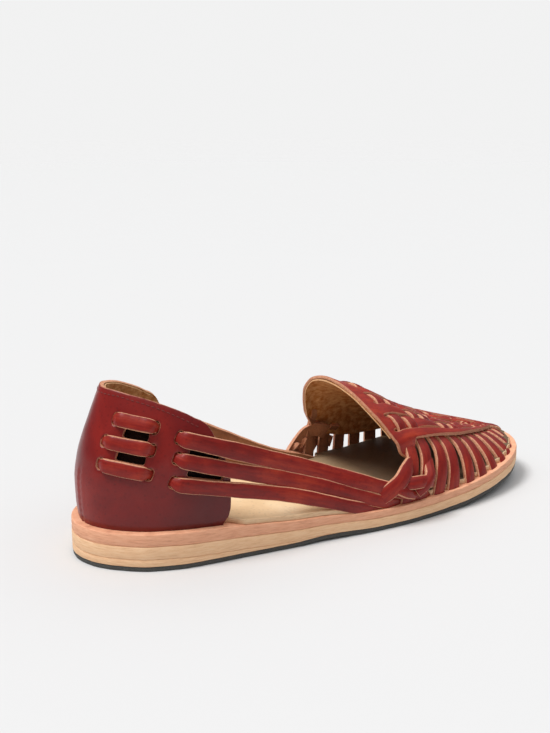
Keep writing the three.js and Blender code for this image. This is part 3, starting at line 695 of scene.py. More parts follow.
def make_sole():
    def footbed_top(x):
        return seat(x) + INSOLE

    def dish(x, across):
        middle = math.sin(math.pi * across)
        heel = 0.9 * (1 - smooth(x, 40, 80))
        ball = 0.5 * smooth(x, 130, 165) * (1 - smooth(x, 200, 235))
        arch = 1.6 * smooth(x, 70, 100) * (1 - smooth(x, 118, 150))
        medial = smooth(across, 0.55, 1.0) * (1 - smooth(across, 0.9, 1.0))
        return -middle * (heel + ball) + arch * medial

    notches = footbed_notches()
    rubber = rubber_material()
    edge_tan = stacked_material("sanded tan leather", TAN_EDGE)
    edge_rose = stacked_material("sanded rose leather", ROSE_EDGE)
    sole_layer("outsole_rubber", ground, rubber_top, 0.35, [rubber, rubber], "sole_rubber", ["outsole"])
    sole_layer(
        "heel_lift_leather", rubber_top, lambda x: lift_top(x) - 0.02, 0.1,
        [edge_tan, edge_tan], "tan_leather", ["heel_lift"], end=LIFT_END - 0.5, stations=110, corner=0.3,
    )
    sole_layer(
        "midsole_leather", lift_top, midsole_top, 0.05,
        [edge_tan, edge_tan], "tan_leather", ["midsole"], corner=0.35,
    )
    sole_layer(
        "welt_leather", midsole_top, lambda x: seat(x) - 0.05, 0.1,
        [edge_rose, edge_rose], "rose_leather", ["welt"],
    )
    footbed_face = footbed_material()
    sole_layer(
        "footbed", lambda x: seat(x) - 0.05, footbed_top, lambda s, side: footbed_inset(s, side, notches),
        [footbed_face, stacked_material("pale footbed edge", PALE_EDGE)], "footbed_leather", ["insole"],
        stations=420, dish=dish, corner=0.5,
    )


# ---- Heel counter ----
counter_lean = column(COUNTER_SECTIONS, "z", "lean")
counter_width = column(COUNTER_SECTIONS, "z", "width")
counter_front = column(COUNTER_SECTIONS, "z", "front")
collar_height = column(COLLAR, "x", "z")
ARC_X = np.array([rounded_place(0.5 * i / 400, LENGTH) for i in range(401)])
ARC_Y = np.array([half_width(x) * COUNTER_NARROW for x in ARC_X])
ARC_RUN = np.concatenate([[0], np.cumsum(np.hypot(np.diff(ARC_X), np.diff(ARC_Y)))])


def counter_flat(x, z, side):
    """Where a place on the counter lies in its flat pattern: distance round from the back, and height."""
    lean = counter_lean(z)
    along = max((x - lean) / (1 - lean / COUNTER_ROOT), 0)
    return np.array([side * float(np.interp(along, ARC_X, ARC_RUN)), z])


def counter_bare(u, z):
    side = -1 if u < 0 else 1
    along = float(np.interp(abs(u), ARC_RUN, ARC_X))
    lean = counter_lean(z)
    half = half_width(along) * COUNTER_NARROW * counter_width(z)
    return np.array([lean + along * (1 - lean / COUNTER_ROOT), middle_line(along) + side * half, z])


# Soft troughs (-) and ridges (+) pressed into the counter by its making and by wear, in its flat pattern:
# middle, half length, direction in degrees, half width and depth. Each lies on both sides.
COUNTER_CREASES = rows(
    "u z long turn wide depth",
    (33, 31, 16, 8, 5, -0.35), (56, 27, 10, -12, 4, 0.3), (20, 26, 10, 70, 4, -0.3),
    (40, 55, 7, 80, 3, -0.35), (44, 44, 9, 85, 3.5, -0.4), (12, 62, 9, 75, 3.5, -0.3),
    (62, 22, 8, 60, 3, -0.3),
)


def counter_relief(u, z):
    relief = 0.0
    for row in COUNTER_CREASES:
        turn = math.radians(row["turn"])
        du, dz = abs(u) - row["u"], z - row["z"]
        along = du * math.cos(turn) + dz * math.sin(turn)
        off = -du * math.sin(turn) + dz * math.cos(turn)
        relief += row["depth"] * math.exp(-((along / row["long"]) ** 2) - (off / row["wide"]) ** 2)
    seam = 1 - smooth(z, SEAM_TOP - 4, SEAM_TOP)
    off = abs(u - SEAM_AT)
    relief += seam * (0.22 * math.exp(-(((off - 1.6) / 1.1) ** 2)) - 0.6 * math.exp(-((off / 0.45) ** 2)))
    foot = seat(abs(u) * 0.8)
    relief -= 0.35 * (1 - smooth(z, foot - 0.4, foot + 1.2))
    return relief


def counter_normal(u, z):
    along = counter_bare(u + 0.3, z) - counter_bare(u - 0.3, z)
    up = counter_bare(u, z + 0.3) - counter_bare(u, z - 0.3)
    return unit(np.cross(up, along))


def counter_place(u, z):
    normal = counter_normal(u, z)
    return counter_bare(u, z) + normal * counter_relief(u, z), normal


def counter_outline():
    half = []
    corner = 64.8
    bottom = seat(57) - 1.1
    for step in range(31):
        z = mix(bottom, corner, step / 30)
        half.append(counter_flat(counter_front(z), z, 1))
    for step in range(1, 25):
        x = mix(48.0, 15.2, step / 24)
        z = collar_height(x)
        half.append(counter_flat(x, z, 1))
    half[-1] = np.array([0.0, collar_height(0)])
    lateral = [p * [-1, 1] for p in reversed(half[:-1])]
    return np.array(half + lateral + under_line(half[0][0]))


def under_line(widest):
    """Foot of the counter from the lateral front corner round to the medial one."""
    points = []
    for step in range(1, 80):
        u = mix(-widest, widest, step / 80)
        points.append(np.array([u, seat(counter_bare(u, 18)[0]) - 1.1]))
    return points


def on_side(x, z, drop, side):
    """A place on the medial side that matches one on the lateral side."""
    if side < 0:
        return x, z
    forward = MEDIAL_FORWARD * (1 - smooth(x, FORWARD_UP_TO, FORWARD_NO_MORE))
    back = MEDIAL_SHORT * smooth(x, SHORT_FROM, SHORT_FULL)
    return x + forward - back, z - drop * smooth(x, DROP_FROM, DROP_FULL)


def strap_route(name, side):
    drop = STRAP_LIE[name][3]
    moved = []
    for row in STRAP_ROUTES[name]:
        x, z = on_side(row["x"], row["z"], drop, side)
        moved.append({**row, "x": x, "z": z})
    return moved


def strap_crossings(route):
    """Middles of the slits that a strap goes through, with the direction it goes in."""
    found = []
    for before, after in zip(route, route[1:]):
        if before["out"] * after["out"] < 0:
            middle = {key: (before[key] + after[key]) / 2 for key in ("x", "z", "width")}
            middle["way"] = (before, after)
            found.append(middle)
    return found


def make_counter():
    holes = []
    for side in (-1, 1):
        for name in STRAP_ROUTES:
            for slit in strap_crossings(strap_route(name, side)):
                centre = counter_flat(slit["x"], slit["z"], side)
                before, after = (counter_flat(end["x"], end["z"], side) for end in slit["way"])
                way = unit(after - before) * 2.1
                holes.append(rounded_slot(centre - way, centre + way, slit["width"] * 0.72 + 0.8, 1.9))
        for row in COUNTER_WINDOWS:
            start = counter_flat(*on_side(row["from_x"], row["from_z"], row["drop"], side), side)
            end = counter_flat(*on_side(row["to_x"], row["to_z"], row["drop"], side), side)
            holes.append(rounded_slot(start, end, row["height"], 1.1))
    leather = Leather()
    cut_sheet(leather, counter_outline(), holes, counter_place, COUNTER_WALL, rounding=0.5)
    shell = counter_material()
    leather.piece(
        "heel_counter_shell", [shell, cut_edge_material(), lining_material()], "brandy_leather",
        ["heel_counter"], sharp=50,
    )


def counter_lining_place(u, z):
    """The lining meets the shell at the collar and stands clear of the straps behind it."""
    normal = counter_normal(u, z)
    top = collar_height(counter_bare(u, z)[0])
    room = smooth(top - z, 2.5, 12) * smooth(z, seat(0) + 2, 32)
    edge = smooth(counter_flat(counter_front(z), z, 1)[0] - abs(u), 1.5, 7)
    return counter_bare(u, z) - normal * (COUNTER_WALL + 0.05 + LINING_ROOM * room * edge), normal


def make_counter_lining():
    outline = counter_outline()
    outline[:, 0] *= 0.985
    outline[:, 1] -= 0.25
    leather = Leather()
    cut_sheet(leather, outline, [], counter_lining_place, LINING_WALL, spacing=2.0, cut=1.2, rounding=0.25)
    # The face towards the shell gets the painted-shade material, so the counter's windows look dark.
    sides = [shaded_material(), lining_edge_material(), lining_material()]
    leather.piece("counter_lining", sides, "footbed_leather")


# ---- Side straps ----
tuck_inset = column(TUCK, "x", "inset")
lean_share = column(LEAN, "x", "share")


def strap_spot(x, z, out, side, name):
    """Point and normal of a strap's middle at one place on its way."""
    wall, at_ball, lean, _ = STRAP_LIE[name]
    if out == 0:
        apart = at_ball * smooth(x, 66, 108) - lean * lean_share(x)
        apart -= STRAP_END_IN * smooth(seat(x) + 1.5 - z, 0.0, 3.0)
        y = middle_line(x) + side * (half_width(x) - tuck_inset(x) + apart)
        return np.array([x, y, z]), unit(np.array([-0.03, side, 0.10 + 0.05 * lean * lean_share(x)]))
    u, _ = counter_flat(x, z, side)
    normal = counter_normal(u, z)
    off = 0.25 + wall / 2 if out > 0 else -(COUNTER_WALL + TUNNEL_GAP + wall / 2)
    return counter_bare(u, z) + normal * off, normal


def through(points, spacing=1.0, values=()):
    """A smooth line through points, sampled evenly, with any values carried along it."""
    points = np.asarray(points, float)
    knots = np.concatenate([[0], np.cumsum(np.linalg.norm(np.diff(points, axis=0), axis=1) ** 0.5)])
    table = np.hstack([points, *[np.asarray(v, float).reshape(len(points), -1) for v in values]])
    slopes = np.gradient(points, knots, axis=0)
    fine = []
    for i in range(len(points) - 1):
        h = knots[i + 1] - knots[i]
        steps = 24
        for step in range(steps if i < len(points) - 2 else steps + 1):
            t = step / steps
            p = (
                (1 + 2 * t) * (1 - t) ** 2 * points[i] + t * (1 - t) ** 2 * h * slopes[i]
                + t * t * (3 - 2 * t) * points[i + 1] + t * t * (t - 1) * h * slopes[i + 1]
            )
            fine.append(np.concatenate([p, mix(table[i, 3:], table[i + 1, 3:], t)]))
    return resampled_line(np.array(fine), spacing)


def resampled_line(table, spacing):
    run = np.concatenate([[0], np.cumsum(np.linalg.norm(np.diff(table[:, :3], axis=0), axis=1))])
    places = np.linspace(0, run[-1], max(int(run[-1] / spacing), 4) + 1)
    return np.stack([np.interp(places, run, table[:, k]) for k in range(table.shape[1])], axis=1)


def side_strap(leather, name, side, seed):
    route = strap_route(name, side)
    spots, normals, widths = [], [], []
    for row, after in zip(route, route[1:] + [None]):
        point, normal = strap_spot(row["x"], row["z"], row["out"], side, name)
        spots.append(point)
        normals.append(normal)
        widths.append(row["width"])
        if after is None or after["out"] != row["out"] or row["out"] == 0:
            continue
        count = int((after["x"] - row["x"]) / 4)
        for k in range(1, count + 1):
            t = k / (count + 1)
            x, z = mix(row["x"], after["x"], t), mix(row["z"], after["z"], t)
            point, normal = strap_spot(x, z, row["out"], side, name)
            spots.append(point)
            normals.append(normal)
            widths.append(mix(row["width"], after["width"], t))
    line = through(spots, 0.8, (normals, widths))
    crossings = []
    for slit in strap_crossings(route):
        u, z = counter_flat(slit["x"], slit["z"], side)
        crossings.append(counter_bare(u, z) - counter_normal(u, z) * COUNTER_WALL / 2)
    widths = []
    for row in line:
        gap = min(np.linalg.norm(row[:3] - crossing) for crossing in crossings)
        widths.append(row[6] * (1 - 0.3 * math.exp(-((gap / 2.3) ** 2))))
    strip(leather, line[:, :3], line[:, 3:6], widths, STRAP_LIE[name][0], crown=0.35, seed=seed)


def make_side_straps():
    leather = Leather()
    for side in (-1, 1):
        for number, name in enumerate(STRAP_ROUTES):
            side_strap(leather, name, side, seed=20 + number + 5 * side)
    leather.piece("side_straps", [strap_material(), cut_edge_material(), flesh_material()], "strap_leather")


def make_ball_wraps():
    leather = Leather()
    for side in (-1, 1):
        for number, route in enumerate(BALL_WRAPS):
            spots, normals = [], []
            for row in route:
                x = row["x"] - (MEDIAL_SHORT if side > 0 else 0)
                y = middle_line(x) + side * (half_width(x) - tuck_inset(x) + row["out"])
                spots.append(np.array([x, y, row["z"]]))
                normals.append(unit(np.array([0.0, side, 0.35])))
            line = through(spots, 0.6, (normals,))
            widths = [WRAP_WIDTHS[number]] * len(line)
            seed = 60 + number + 9 * side
            strip(leather, line[:, :3], line[:, 3:6], widths, STRIP_WALL, crown=0.5, seed=seed)
    leather.piece("ball_wraps", [strap_material(), cut_edge_material(), flesh_material()], "strap_leather")


# ---- Vamp ----
ridge_height = column(RIDGE, "x", "z")
ridge_middle = column(RIDGE, "x", "y")
throat_place = column(THROAT, "across", "x")
border_columns = {-1: column(BORDER, "x", "lateral"), 1: column(BORDER, "x", "medial")}
BACK_SHARE = rounded_share(UPPER_BACK, UPPER_TOE)


def share_of(x):
    return clamp((rounded_share(x, UPPER_TOE) - BACK_SHARE) / (1 - BACK_SHARE), 0, 1)


def place_of(share):
    return rounded_place(mix(BACK_SHARE, 1, share), UPPER_TOE)


def last_point(share, climb, side):
    """The last's forward half. climb runs from the feather line, 0, up to the ridge, 1."""
    foot = place_of(share)
    edge = outline_point(rounded_share(foot * LENGTH / UPPER_TOE, LENGTH), side)
    middle = middle_line(foot)
    drawn_in = (LENGTH - 2 * UPPER_MARGIN) / LENGTH
    low_y = middle + (edge[1] - middle) * drawn_in - side * UPPER_MARGIN * (1 - share)
    low = np.array([foot, low_y, seat(foot)])
    ridge = mix(UPPER_BACK, RIDGE_TOE, max(share, 0) ** RIDGE_FAN)
    high = np.array([ridge, ridge_middle(ridge), ridge_height(ridge)])
    angle = climb * math.pi / 2
    reach, rise = 1 - math.cos(angle), math.sin(angle)
    forward = mix(rise, reach, share**3)
    return low + (high - low) * np.array([forward, reach, rise])


def last_normal(share, climb, side):
    s, c = clamp(share, 0.004, 0.996), clamp(climb, 0.004, 0.996)
    along = last_point(s + 0.004, c, side) - last_point(s - 0.004, c, side)
    up = last_point(s, c + 0.004, side) - last_point(s, c - 0.004, side)
    return unit(np.cross(along, up)) * -side


def share_at(x, climb, side):
    low, high = 0.0, 1.0
    for _ in range(22):
        guess = (low + high) / 2
        if last_point(guess, climb, side)[0] < x:
            low = guess
        else:
            high = guess
    return (low + high) / 2


def border_climb(share, side):
    return border_columns[side](place_of(share))


def head_climb(x, side):
    return border_columns[side](x) + 0.09


ACROSS = np.linspace(-1, 1, 161)  # from the lateral feather line over the ridge, 0, to the medial one


def cross_line(row):
    """Share of a cross strip's middle at each place across the last."""
    lateral, medial = head_climb(row["lateral_foot"], -1), head_climb(row["medial_foot"], 1)
    ridge = (max(row["ridge"] - UPPER_BACK, 0) / (RIDGE_TOE - UPPER_BACK)) ** (1 / RIDGE_FAN)
    line = rows(
        "across share",
        (-1, share_of(row["lateral_foot"])), (-(1 - lateral), share_at(row["lateral_head"], lateral, -1)),
        (0, ridge), (1 - medial, share_at(row["medial_head"], medial, 1)), (1, share_of(row["medial_foot"])),
    )
    share = column(line, "across", "share")
    return np.array([share(place) for place in ACROSS])


def spoke_line(row):
    climb = head_climb(row["foot"], row["side"])
    head = share_at(row["head"], climb, row["side"]) if row["foot"] < UPPER_TOE else 1.0
    foot = share_of(row["foot"]) if row["foot"] < UPPER_TOE else 1.0
    line = rows("away share", (0, 1.0), (1 - climb, max(head, foot)), (1, foot))
    share = column(line, "away", "share")
    return np.array([share(abs(place)) for place in ACROSS])


CROSS_LINES = [cross_line(row) for row in CROSS_STRIPS]
SPOKE_LINES = [spoke_line(row) for row in TOE_SPOKES]


def finger_place(q):
    """Place among the fingers, in finger widths. q runs from the border's edge, 0, to the ridge, 1."""
    return max(q, 0) * FINGER_UNITS + 1 - BORDER_PART


def finger_at(v):
    """Which finger of the apron a place lies in: 0 is the border, 5 the one along the ridge."""
    q = 1 - abs(v) / SHEET_HALF
    return min(int(finger_place(q)), FINGERS)


def finger_over(finger, strip_number):
    """1 where a finger passes over a cross strip, -1 where it passes under. Strips go in pairs."""
    if finger == 0:
        return 1
    return 1 if (finger + strip_number // 2) % 2 == 0 else -1


def weave_height(share, v, across):
    finger = finger_at(v)
    side = -1 if v < 0 else 1
    spokes = [
        line for row, line in zip(TOE_SPOKES, SPOKE_LINES)
        if row["side"] == side and row["foot"] < UPPER_TOE
    ]
    stops = []
    for k, line in enumerate(CROSS_LINES + spokes):
        stops.append((float(np.interp(across, ACROSS, line)), finger_over(finger, k)))
    stops.append((1.0, -1))
    stops.insert(0, (stops[0][0] - 0.055, 0))
    if share <= stops[0][0]:
        return 0.0
    for (s0, h0), (s1, h1) in zip(stops, stops[1:]):
        if share <= s1:
            t = clamp((share - s0) / max(s1 - s0, 1e-6), 0, 1)
            return mix(h0, h1, t * t * (3 - 2 * t))
    return -1.0


def vamp_place(u, v):
    share, side = clamp(u / SHEET_LONG, 0, 1), (-1 if v < 0 else 1)
    q = 1 - abs(v) / SHEET_HALF
    climb = mix(border_climb(share, side), 1, q)
    across = side * (1 - climb)
    height = WEAVE_LIFT * weave_height(share, v, across)
    first = float(np.interp(across, ACROSS, CROSS_LINES[0]))
    if q > 0:
        unit_place = finger_place(q)
        place = unit_place % 1 if unit_place < FINGERS else 0.5 + (unit_place - FINGERS)
        height += FINGER_SWELL * (1 - (2 * place - 1) ** 2) * smooth(share, first - 0.06, first)
    else:
        height -= min(-q * SHEET_HALF * 0.75, BORDER_TURN_DOWN)
    height += apron_relief(u, v)
    normal = last_normal(share, climb, side)
    return last_point(share, climb, side) + normal * height, normal


# Soft creases of the apron where the foot bends it, in its flat pattern.
APRON_CREASES = rows(
    "u v long turn wide depth",
    (17, -12, 10, 88, 2.2, -0.35), (20.5, 2, 9, 90, 1.8, -0.3), (16, 16, 9, 95, 2.0, -0.3),
    (21, -27, 6, 70, 2.0, -0.35), (15, -30, 6, 60, 2.0, 0.3), (12, 6, 12, 90, 2.6, 0.25),
)


def apron_relief(u, v):
    relief = 0.0
    for row in APRON_CREASES:
        turn = math.radians(row["turn"])
        du, dv = u - row["u"], v - row["v"]
        along = du * math.cos(turn) + dv * math.sin(turn)
        off = -du * math.sin(turn) + dv * math.cos(turn)
        relief += row["depth"] * math.exp(-((along / row["long"]) ** 2) - (off / row["wide"]) ** 2)
    return relief


def throat_u(across):
    side = -1 if across < 0.5 else 1
    toward = 1 - abs(2 * across - 1)
    x = throat_place(across)
    return SHEET_LONG * share_at(x, mix(border_columns[side](x), 1, toward), side)


CORNER_FLAP = rows("u v", (0.5, 3.0), (1.9, 5.6), (4.6, 6.4), (7.4, 4.8), (8.8, 1.8), (10, 0))


def apron_outline():
    """Flat pattern of the apron with its fingers, from the lateral corner over the throat and round."""
    throat = [(throat_u(step / 40), (2 * step / 40 - 1) * SHEET_HALF) for step in range(41)]
    medial = [(throat[-1][0] + row["u"], SHEET_HALF + row["v"]) for row in CORNER_FLAP]
    lateral = [(throat[0][0] + row["u"], -SHEET_HALF - row["v"]) for row in reversed(CORNER_FLAP)]
    return np.array(throat + medial + [(SHEET_LONG, SHEET_HALF), (SHEET_LONG, -SHEET_HALF)] + lateral)


def finger_slits():
    slits = []
    for side in (-1, 1):
        for finger in range(1, FINGERS + 1):
            q = (finger - 1 + BORDER_PART) / FINGER_UNITS
            v = side * SHEET_HALF * (1 - q)
            climb = mix(border_climb(0.25, side), 1, q)
            start = SHEET_LONG * float(np.interp(side * (1 - climb), ACROSS, CROSS_LINES[0])) - 5.2
            end = 98.4
            there, back = [], []
            for step in range(61):
                u = mix(start, end, step / 60)
                wide = 0.5 + 0.45 * math.exp(-(((u - start - 1.2) / 1.2) ** 2))
                wide *= min(1, 0.25 + step / 2, 0.25 + (60 - step) / 2)
                there.append((u, v - wide))
                back.append((u, v + wide))
            slits.append(np.array(there + list(reversed(back))))
    return slits


def make_apron():
    leather = Leather()
    cut_sheet(
        leather, apron_outline(), finger_slits(), vamp_place, WEAVE_WALL,
        spacing=1.35, cut=0.9, rounding=0.42,
    )
    leather.piece(
        "apron_and_fingers", [vamp_material(), cut_edge_material(), flesh_material()], "strap_leather",
        ["woven_upper"], sharp=60,
    )


# The lining lobe's outline in the apron's flat pattern: how far past the throat's edge, by place across it.
# Past 1 it hangs below the border on the medial side.
TONGUE_LINING = rows(
    "across front",
    (0.04, 9), (0.10, 16), (0.20, 23), (0.33, 30), (0.5, 36),
    (0.68, 42), (0.85, 46), (0.98, 46), (1.07, 41), (1.11, 33),
)


def make_tongue_lining():
    """Lobe of plain leather under the apron, at the throat."""
    front = column(TONGUE_LINING, "across", "front")
    first, last = TONGUE_LINING[0]["across"], TONGUE_LINING[-1]["across"]
    edge, lobe = [], []
    for step in range(41):
        across = mix(first, last, step / 40)
        v = (2 * across - 1) * SHEET_HALF
        start = throat_u(min(across, 1)) + 26 * max(across - 1, 0)
        edge.append((start - 0.15, v))
        lobe.append((throat_u(min(across, 1)) + front(across), v))
    leather = Leather()

    def under_place(u, v):
        share, side = clamp(u / SHEET_LONG, 0, 1), (-1 if v < 0 else 1)
        climb = mix(border_climb(share, side), 1, 1 - abs(v) / SHEET_HALF)
        normal = last_normal(share, climb, side)
        ahead = smooth(u - throat_u(clamp((v / SHEET_HALF + 1) / 2, 0, 1)), 4, 12)
        return last_point(share, climb, side) - normal * (WEAVE_WALL + 0.02 + 1.1 * ahead), normal

    cut_sheet(
        leather, np.array(edge + list(reversed(lobe))), [], under_place, TONGUE_WALL,
        spacing=1.6, cut=0.9, rounding=0.3,
    )
    sides = [lining_material(), lining_edge_material(), lining_material()]
    leather.piece("tongue_lining", sides, "footbed_leather")


def cross_height(across, strip_number, share):
    """Height of a cross strip's middle over the last, at one place across it."""
    side = -1 if across < 0 else 1
    climb = 1 - abs(across)
    border = border_climb(share, side)
    q = (climb - border) / (1 - border)
    over, under, beside = WEAVE_LIFT - 0.8, -WEAVE_LIFT - 0.9, -SIDE_DEPTH
    if q < 0:
        t = smooth(q, -0.22, 0.0)
        return mix(beside, under, t)
    place = finger_place(q)
    stops = [(0.0, under), (0.5, under)]
    for finger in range(1, FINGERS):
        stops.append((finger + 0.5, under if finger_over(finger, strip_number) > 0 else over))
    stops.append((FINGERS + 0.5, under if finger_over(FINGERS, strip_number) > 0 else over))
    for (p0, h0), (p1, h1) in zip(stops, stops[1:]):
        if place <= p1:
            t = clamp((place - p0) / max(p1 - p0, 1e-6), 0, 1)
            t = smooth(t, 0.12, 0.88)
            return mix(h0, h1, t)
    return stops[-1][1]


def make_cross_strips():
    leather = Leather()
    for number, (row, line) in enumerate(zip(CROSS_STRIPS, CROSS_LINES)):
        path, normals = [], []
        for place in np.linspace(-1, 1, 260):
            side = -1 if place < 0 else 1
            share = float(np.interp(place, ACROSS, line))
            normal = last_normal(share, 1 - abs(place), side)
            point = last_point(share, 1 - abs(place), side) + normal * cross_height(place, number, share)
            path.append(point)
            normals.append(normal)
        path = [path[0] - [0, 0, 1.8], *path, path[-1] - [0, 0, 1.8]]
        normals = [normals[0], *normals, normals[-1]]
        table = resampled_line(np.hstack([np.array(path), np.array(normals)]), 0.9)
        widths = strip_widths(table, row["width"])
        strip(leather, table[:, :3], table[:, 3:6], widths, STRIP_WALL, crown=0.3, seed=100 + number)
    leather.piece("cross_strips", [strap_material(), cut_edge_material(), flesh_material()], "strap_leather")


def strip_widths(table, width):
    """Strips are a little narrower under the border and spread again at the sole."""
    count = len(table)
    return [width * (0.93 + 0.07 * math.cos(math.tau * 2 * i / (count - 1))) for i in range(count)]


def make_toe_spokes():
    leather = Leather()
    for number, (row, line) in enumerate(zip(TOE_SPOKES, SPOKE_LINES)):
        side = row["side"]
        middle = row["foot"] >= UPPER_TOE
        path, normals = [], []
        for place in np.linspace(1, 0.02 if middle else 0.12, 110):
            share = 0.9995 if middle else float(np.interp(side * place, ACROSS, line))
            normal = last_normal(share, 1 - place, side)
            if middle:
                normal = unit(normal * [1, 0, 1])
            if middle:
                height = mix(-SIDE_DEPTH, WEAVE_LIFT - 0.55, smooth(1 - place, 0.05, 0.35))
            else:
                height = cross_height(side * place, len(CROSS_LINES) + number % 3, share)
            path.append(last_point(share, 1 - place, side) + normal * height)
            normals.append(normal)
        if middle:
            for share, drop in ((0.985, 0.1), (0.965, -0.8), (0.945, -1.9)):
                path.append(last_point(share, 1.0, side) + np.array([0, 0, drop]))
                normals.append(np.array([0.1, 0, 1.0]))
        path.insert(0, path[0] - [0, 0, 1.8])
        normals.insert(0, normals[0])
        table = resampled_line(np.hstack([np.array(path), np.array(normals)]), 0.8)
        count = len(table)
        narrow = 0.75 if middle else 0.62
        widths = [row["width"] * mix(1.0, narrow, i / (count - 1)) for i in range(count)]
        strip(leather, table[:, :3], table[:, 3:6], widths, STRIP_WALL, crown=0.3, seed=140 + number)
    leather.piece("toe_spokes", [strap_material(), cut_edge_material(), flesh_material()], "strap_leather")


# ---- Stitches ----
def stitch_tree():
    """Geometry Nodes: a row of stitches, each a small rounded bar of thread, along a curve."""
    tree = bpy.data.node_groups.new("stitch row", "GeometryNodeTree")
    face = tree.interface
    face.new_socket("Geometry", in_out="INPUT", socket_type="NodeSocketGeometry")
    for name in ("Pitch", "Stitch length", "Thread thickness"):
        face.new_socket(name, in_out="INPUT", socket_type="NodeSocketFloat")
    face.new_socket("Thread", in_out="INPUT", socket_type="NodeSocketMaterial")
    face.new_socket("Geometry", in_out="OUTPUT", socket_type="NodeSocketGeometry")
    nodes, links = tree.nodes, tree.links
    start, end = nodes.new("NodeGroupInput"), nodes.new("NodeGroupOutput")
    spots = nodes.new("GeometryNodeCurveToPoints")
    spots.mode = "LENGTH"
    turn = nodes.new("FunctionNodeAlignRotationToVector")
    turn.axis = "Z"
    bar = nodes.new("GeometryNodeMeshUVSphere")
    bar.inputs["Segments"].default_value = 8
    bar.inputs["Rings"].default_value = 6
    bar.inputs["Radius"].default_value = 0.5
    size = nodes.new("ShaderNodeCombineXYZ")
    put = nodes.new("GeometryNodeInstanceOnPoints")
    real = nodes.new("GeometryNodeRealizeInstances")
    smooth_bar = nodes.new("GeometryNodeSetShadeSmooth")
    paint = nodes.new("GeometryNodeSetMaterial")
    links.new(start.outputs["Geometry"], spots.inputs["Curve"])
    links.new(start.outputs["Pitch"], spots.inputs["Length"])
    links.new(spots.outputs["Tangent"], turn.inputs["Vector"])
    links.new(start.outputs["Thread thickness"], size.inputs["X"])
    links.new(start.outputs["Thread thickness"], size.inputs["Y"])
    links.new(start.outputs["Stitch length"], size.inputs["Z"])
    links.new(spots.outputs["Points"], put.inputs["Points"])
    links.new(bar.outputs["Mesh"], put.inputs["Instance"])
    links.new(turn.outputs["Rotation"], put.inputs["Rotation"])
    links.new(size.outputs["Vector"], put.inputs["Scale"])
    links.new(put.outputs["Instances"], real.inputs["Geometry"])
    links.new(real.outputs["Geometry"], smooth_bar.inputs["Geometry"])
    links.new(smooth_bar.outputs["Geometry"], paint.inputs["Geometry"])
    links.new(start.outputs["Thread"], paint.inputs["Material"])
    links.new(paint.outputs["Geometry"], end.inputs["Geometry"])
    return tree


def stitched(name, lines, pitch, length, thickness, thread):
    """Rows of stitches along lines given in millimetres, as one plain mesh."""
    curve = bpy.data.curves.new(name + " line", "CURVE")
    curve.dimensions = "3D"
    for line in lines:
        spline = curve.splines.new("POLY")
        spline.points.add(len(line) - 1)
        for point, place in zip(spline.points, to_frame(line)):
            point.co = (*place, 1.0)
    guide = bpy.data.objects.new(name + " guide", curve)
    bpy.context.scene.collection.objects.link(guide)
    tree = stitch_tree()
    modifier = guide.modifiers.new("stitches", "NODES")
    modifier.node_group = tree
    values = {
        "Pitch": pitch * MM, "Stitch length": length * MM,
        "Thread thickness": thickness * MM, "Thread": thread,
    }
    for item in tree.interface.items_tree:
        if item.in_out == "INPUT" and item.name in values:
            modifier[item.identifier] = values[item.name]
    evaluated = guide.evaluated_get(bpy.context.evaluated_depsgraph_get())
    mesh = bpy.data.meshes.new_from_object(evaluated)
    mesh.name = name
    bpy.data.objects.remove(guide)
    bpy.data.curves.remove(curve)
    if not mesh.materials:
        mesh.materials.append(thread)
    return finished(name, mesh)


def make_stitches():
    thread = thread_material()
    collar = []
    reach = counter_flat(47, collar_height(47) - COLLAR_STITCH_DOWN, 1)[0]
    for step in range(161):
        u = mix(-reach, reach, step / 160)
        x = counter_bare(u, 74)[0]
        z = collar_height(x) - COLLAR_STITCH_DOWN
        point, normal = counter_place(u, z)
        collar.append(point + normal * 0.08)
    stitched("collar_stitches", [collar], STITCH_PITCH, STITCH_LONG, THREAD_THICK, thread)


# ---- Materials ----
TAN_EDGE = ((0.86, 0.53, 0.30), (0.93, 0.65, 0.41), (0.68, 0.38, 0.20))
ROSE_EDGE = ((0.80, 0.385, 0.225), (0.90, 0.50, 0.31), (0.58, 0.245, 0.14))
PALE_EDGE = ((0.72, 0.48, 0.28), (0.82, 0.60, 0.38), (0.52, 0.31, 0.16))


def add(tree, kind, inputs=None, **settings):
    """A node with its settings and its unlinked inputs."""
    node = tree.nodes.new(kind)
    for name, value in settings.items():
        setattr(node, name, value)
    for name, value in (inputs or {}).items():
        node.inputs[name].default_value = value
    return node


def ramp(tree, source, *stops):
    node = add(tree, "ShaderNodeValToRGB")
    elements = node.color_ramp.elements
    while len(elements) < len(stops):
        elements.new(0.5)
    for element, (place, colour) in zip(elements, stops):
        element.position = place
        element.color = (*colour, 1) if len(colour) == 3 else colour
    tree.links.new(source, node.inputs["Fac"])
    return node.outputs["Color"]


def blend_colour(tree, share, first, second):
    """First colour where share is 0, second where it is 1. Each is a socket or a plain colour."""
    node = add(tree, "ShaderNodeMix", data_type="RGBA")
    for value, name in ((first, "A"), (second, "B")):
        sockets = [s for s in node.inputs if s.name == name and s.type == "RGBA"]
        if hasattr(value, "links"):
            tree.links.new(value, sockets[0])
        else:
            sockets[0].default_value = (*value, 1)
    factor = [s for s in node.inputs if s.name == "Factor" and s.type == "VALUE"][0]
    if hasattr(share, "links"):
        tree.links.new(share, factor)
    else:
        factor.default_value = share
    return [s for s in node.outputs if s.type == "RGBA"][0]


def maths(tree, operation, a, b=None, hold=False):
    node = add(tree, "ShaderNodeMath", operation=operation, use_clamp=hold)
    for value, socket in ((a, node.inputs[0]), (b, node.inputs[1])):
        if value is None:
            continue
        if hasattr(value, "links"):
            tree.links.new(value, socket)
        else:
            socket.default_value = value
    return node.outputs[0]


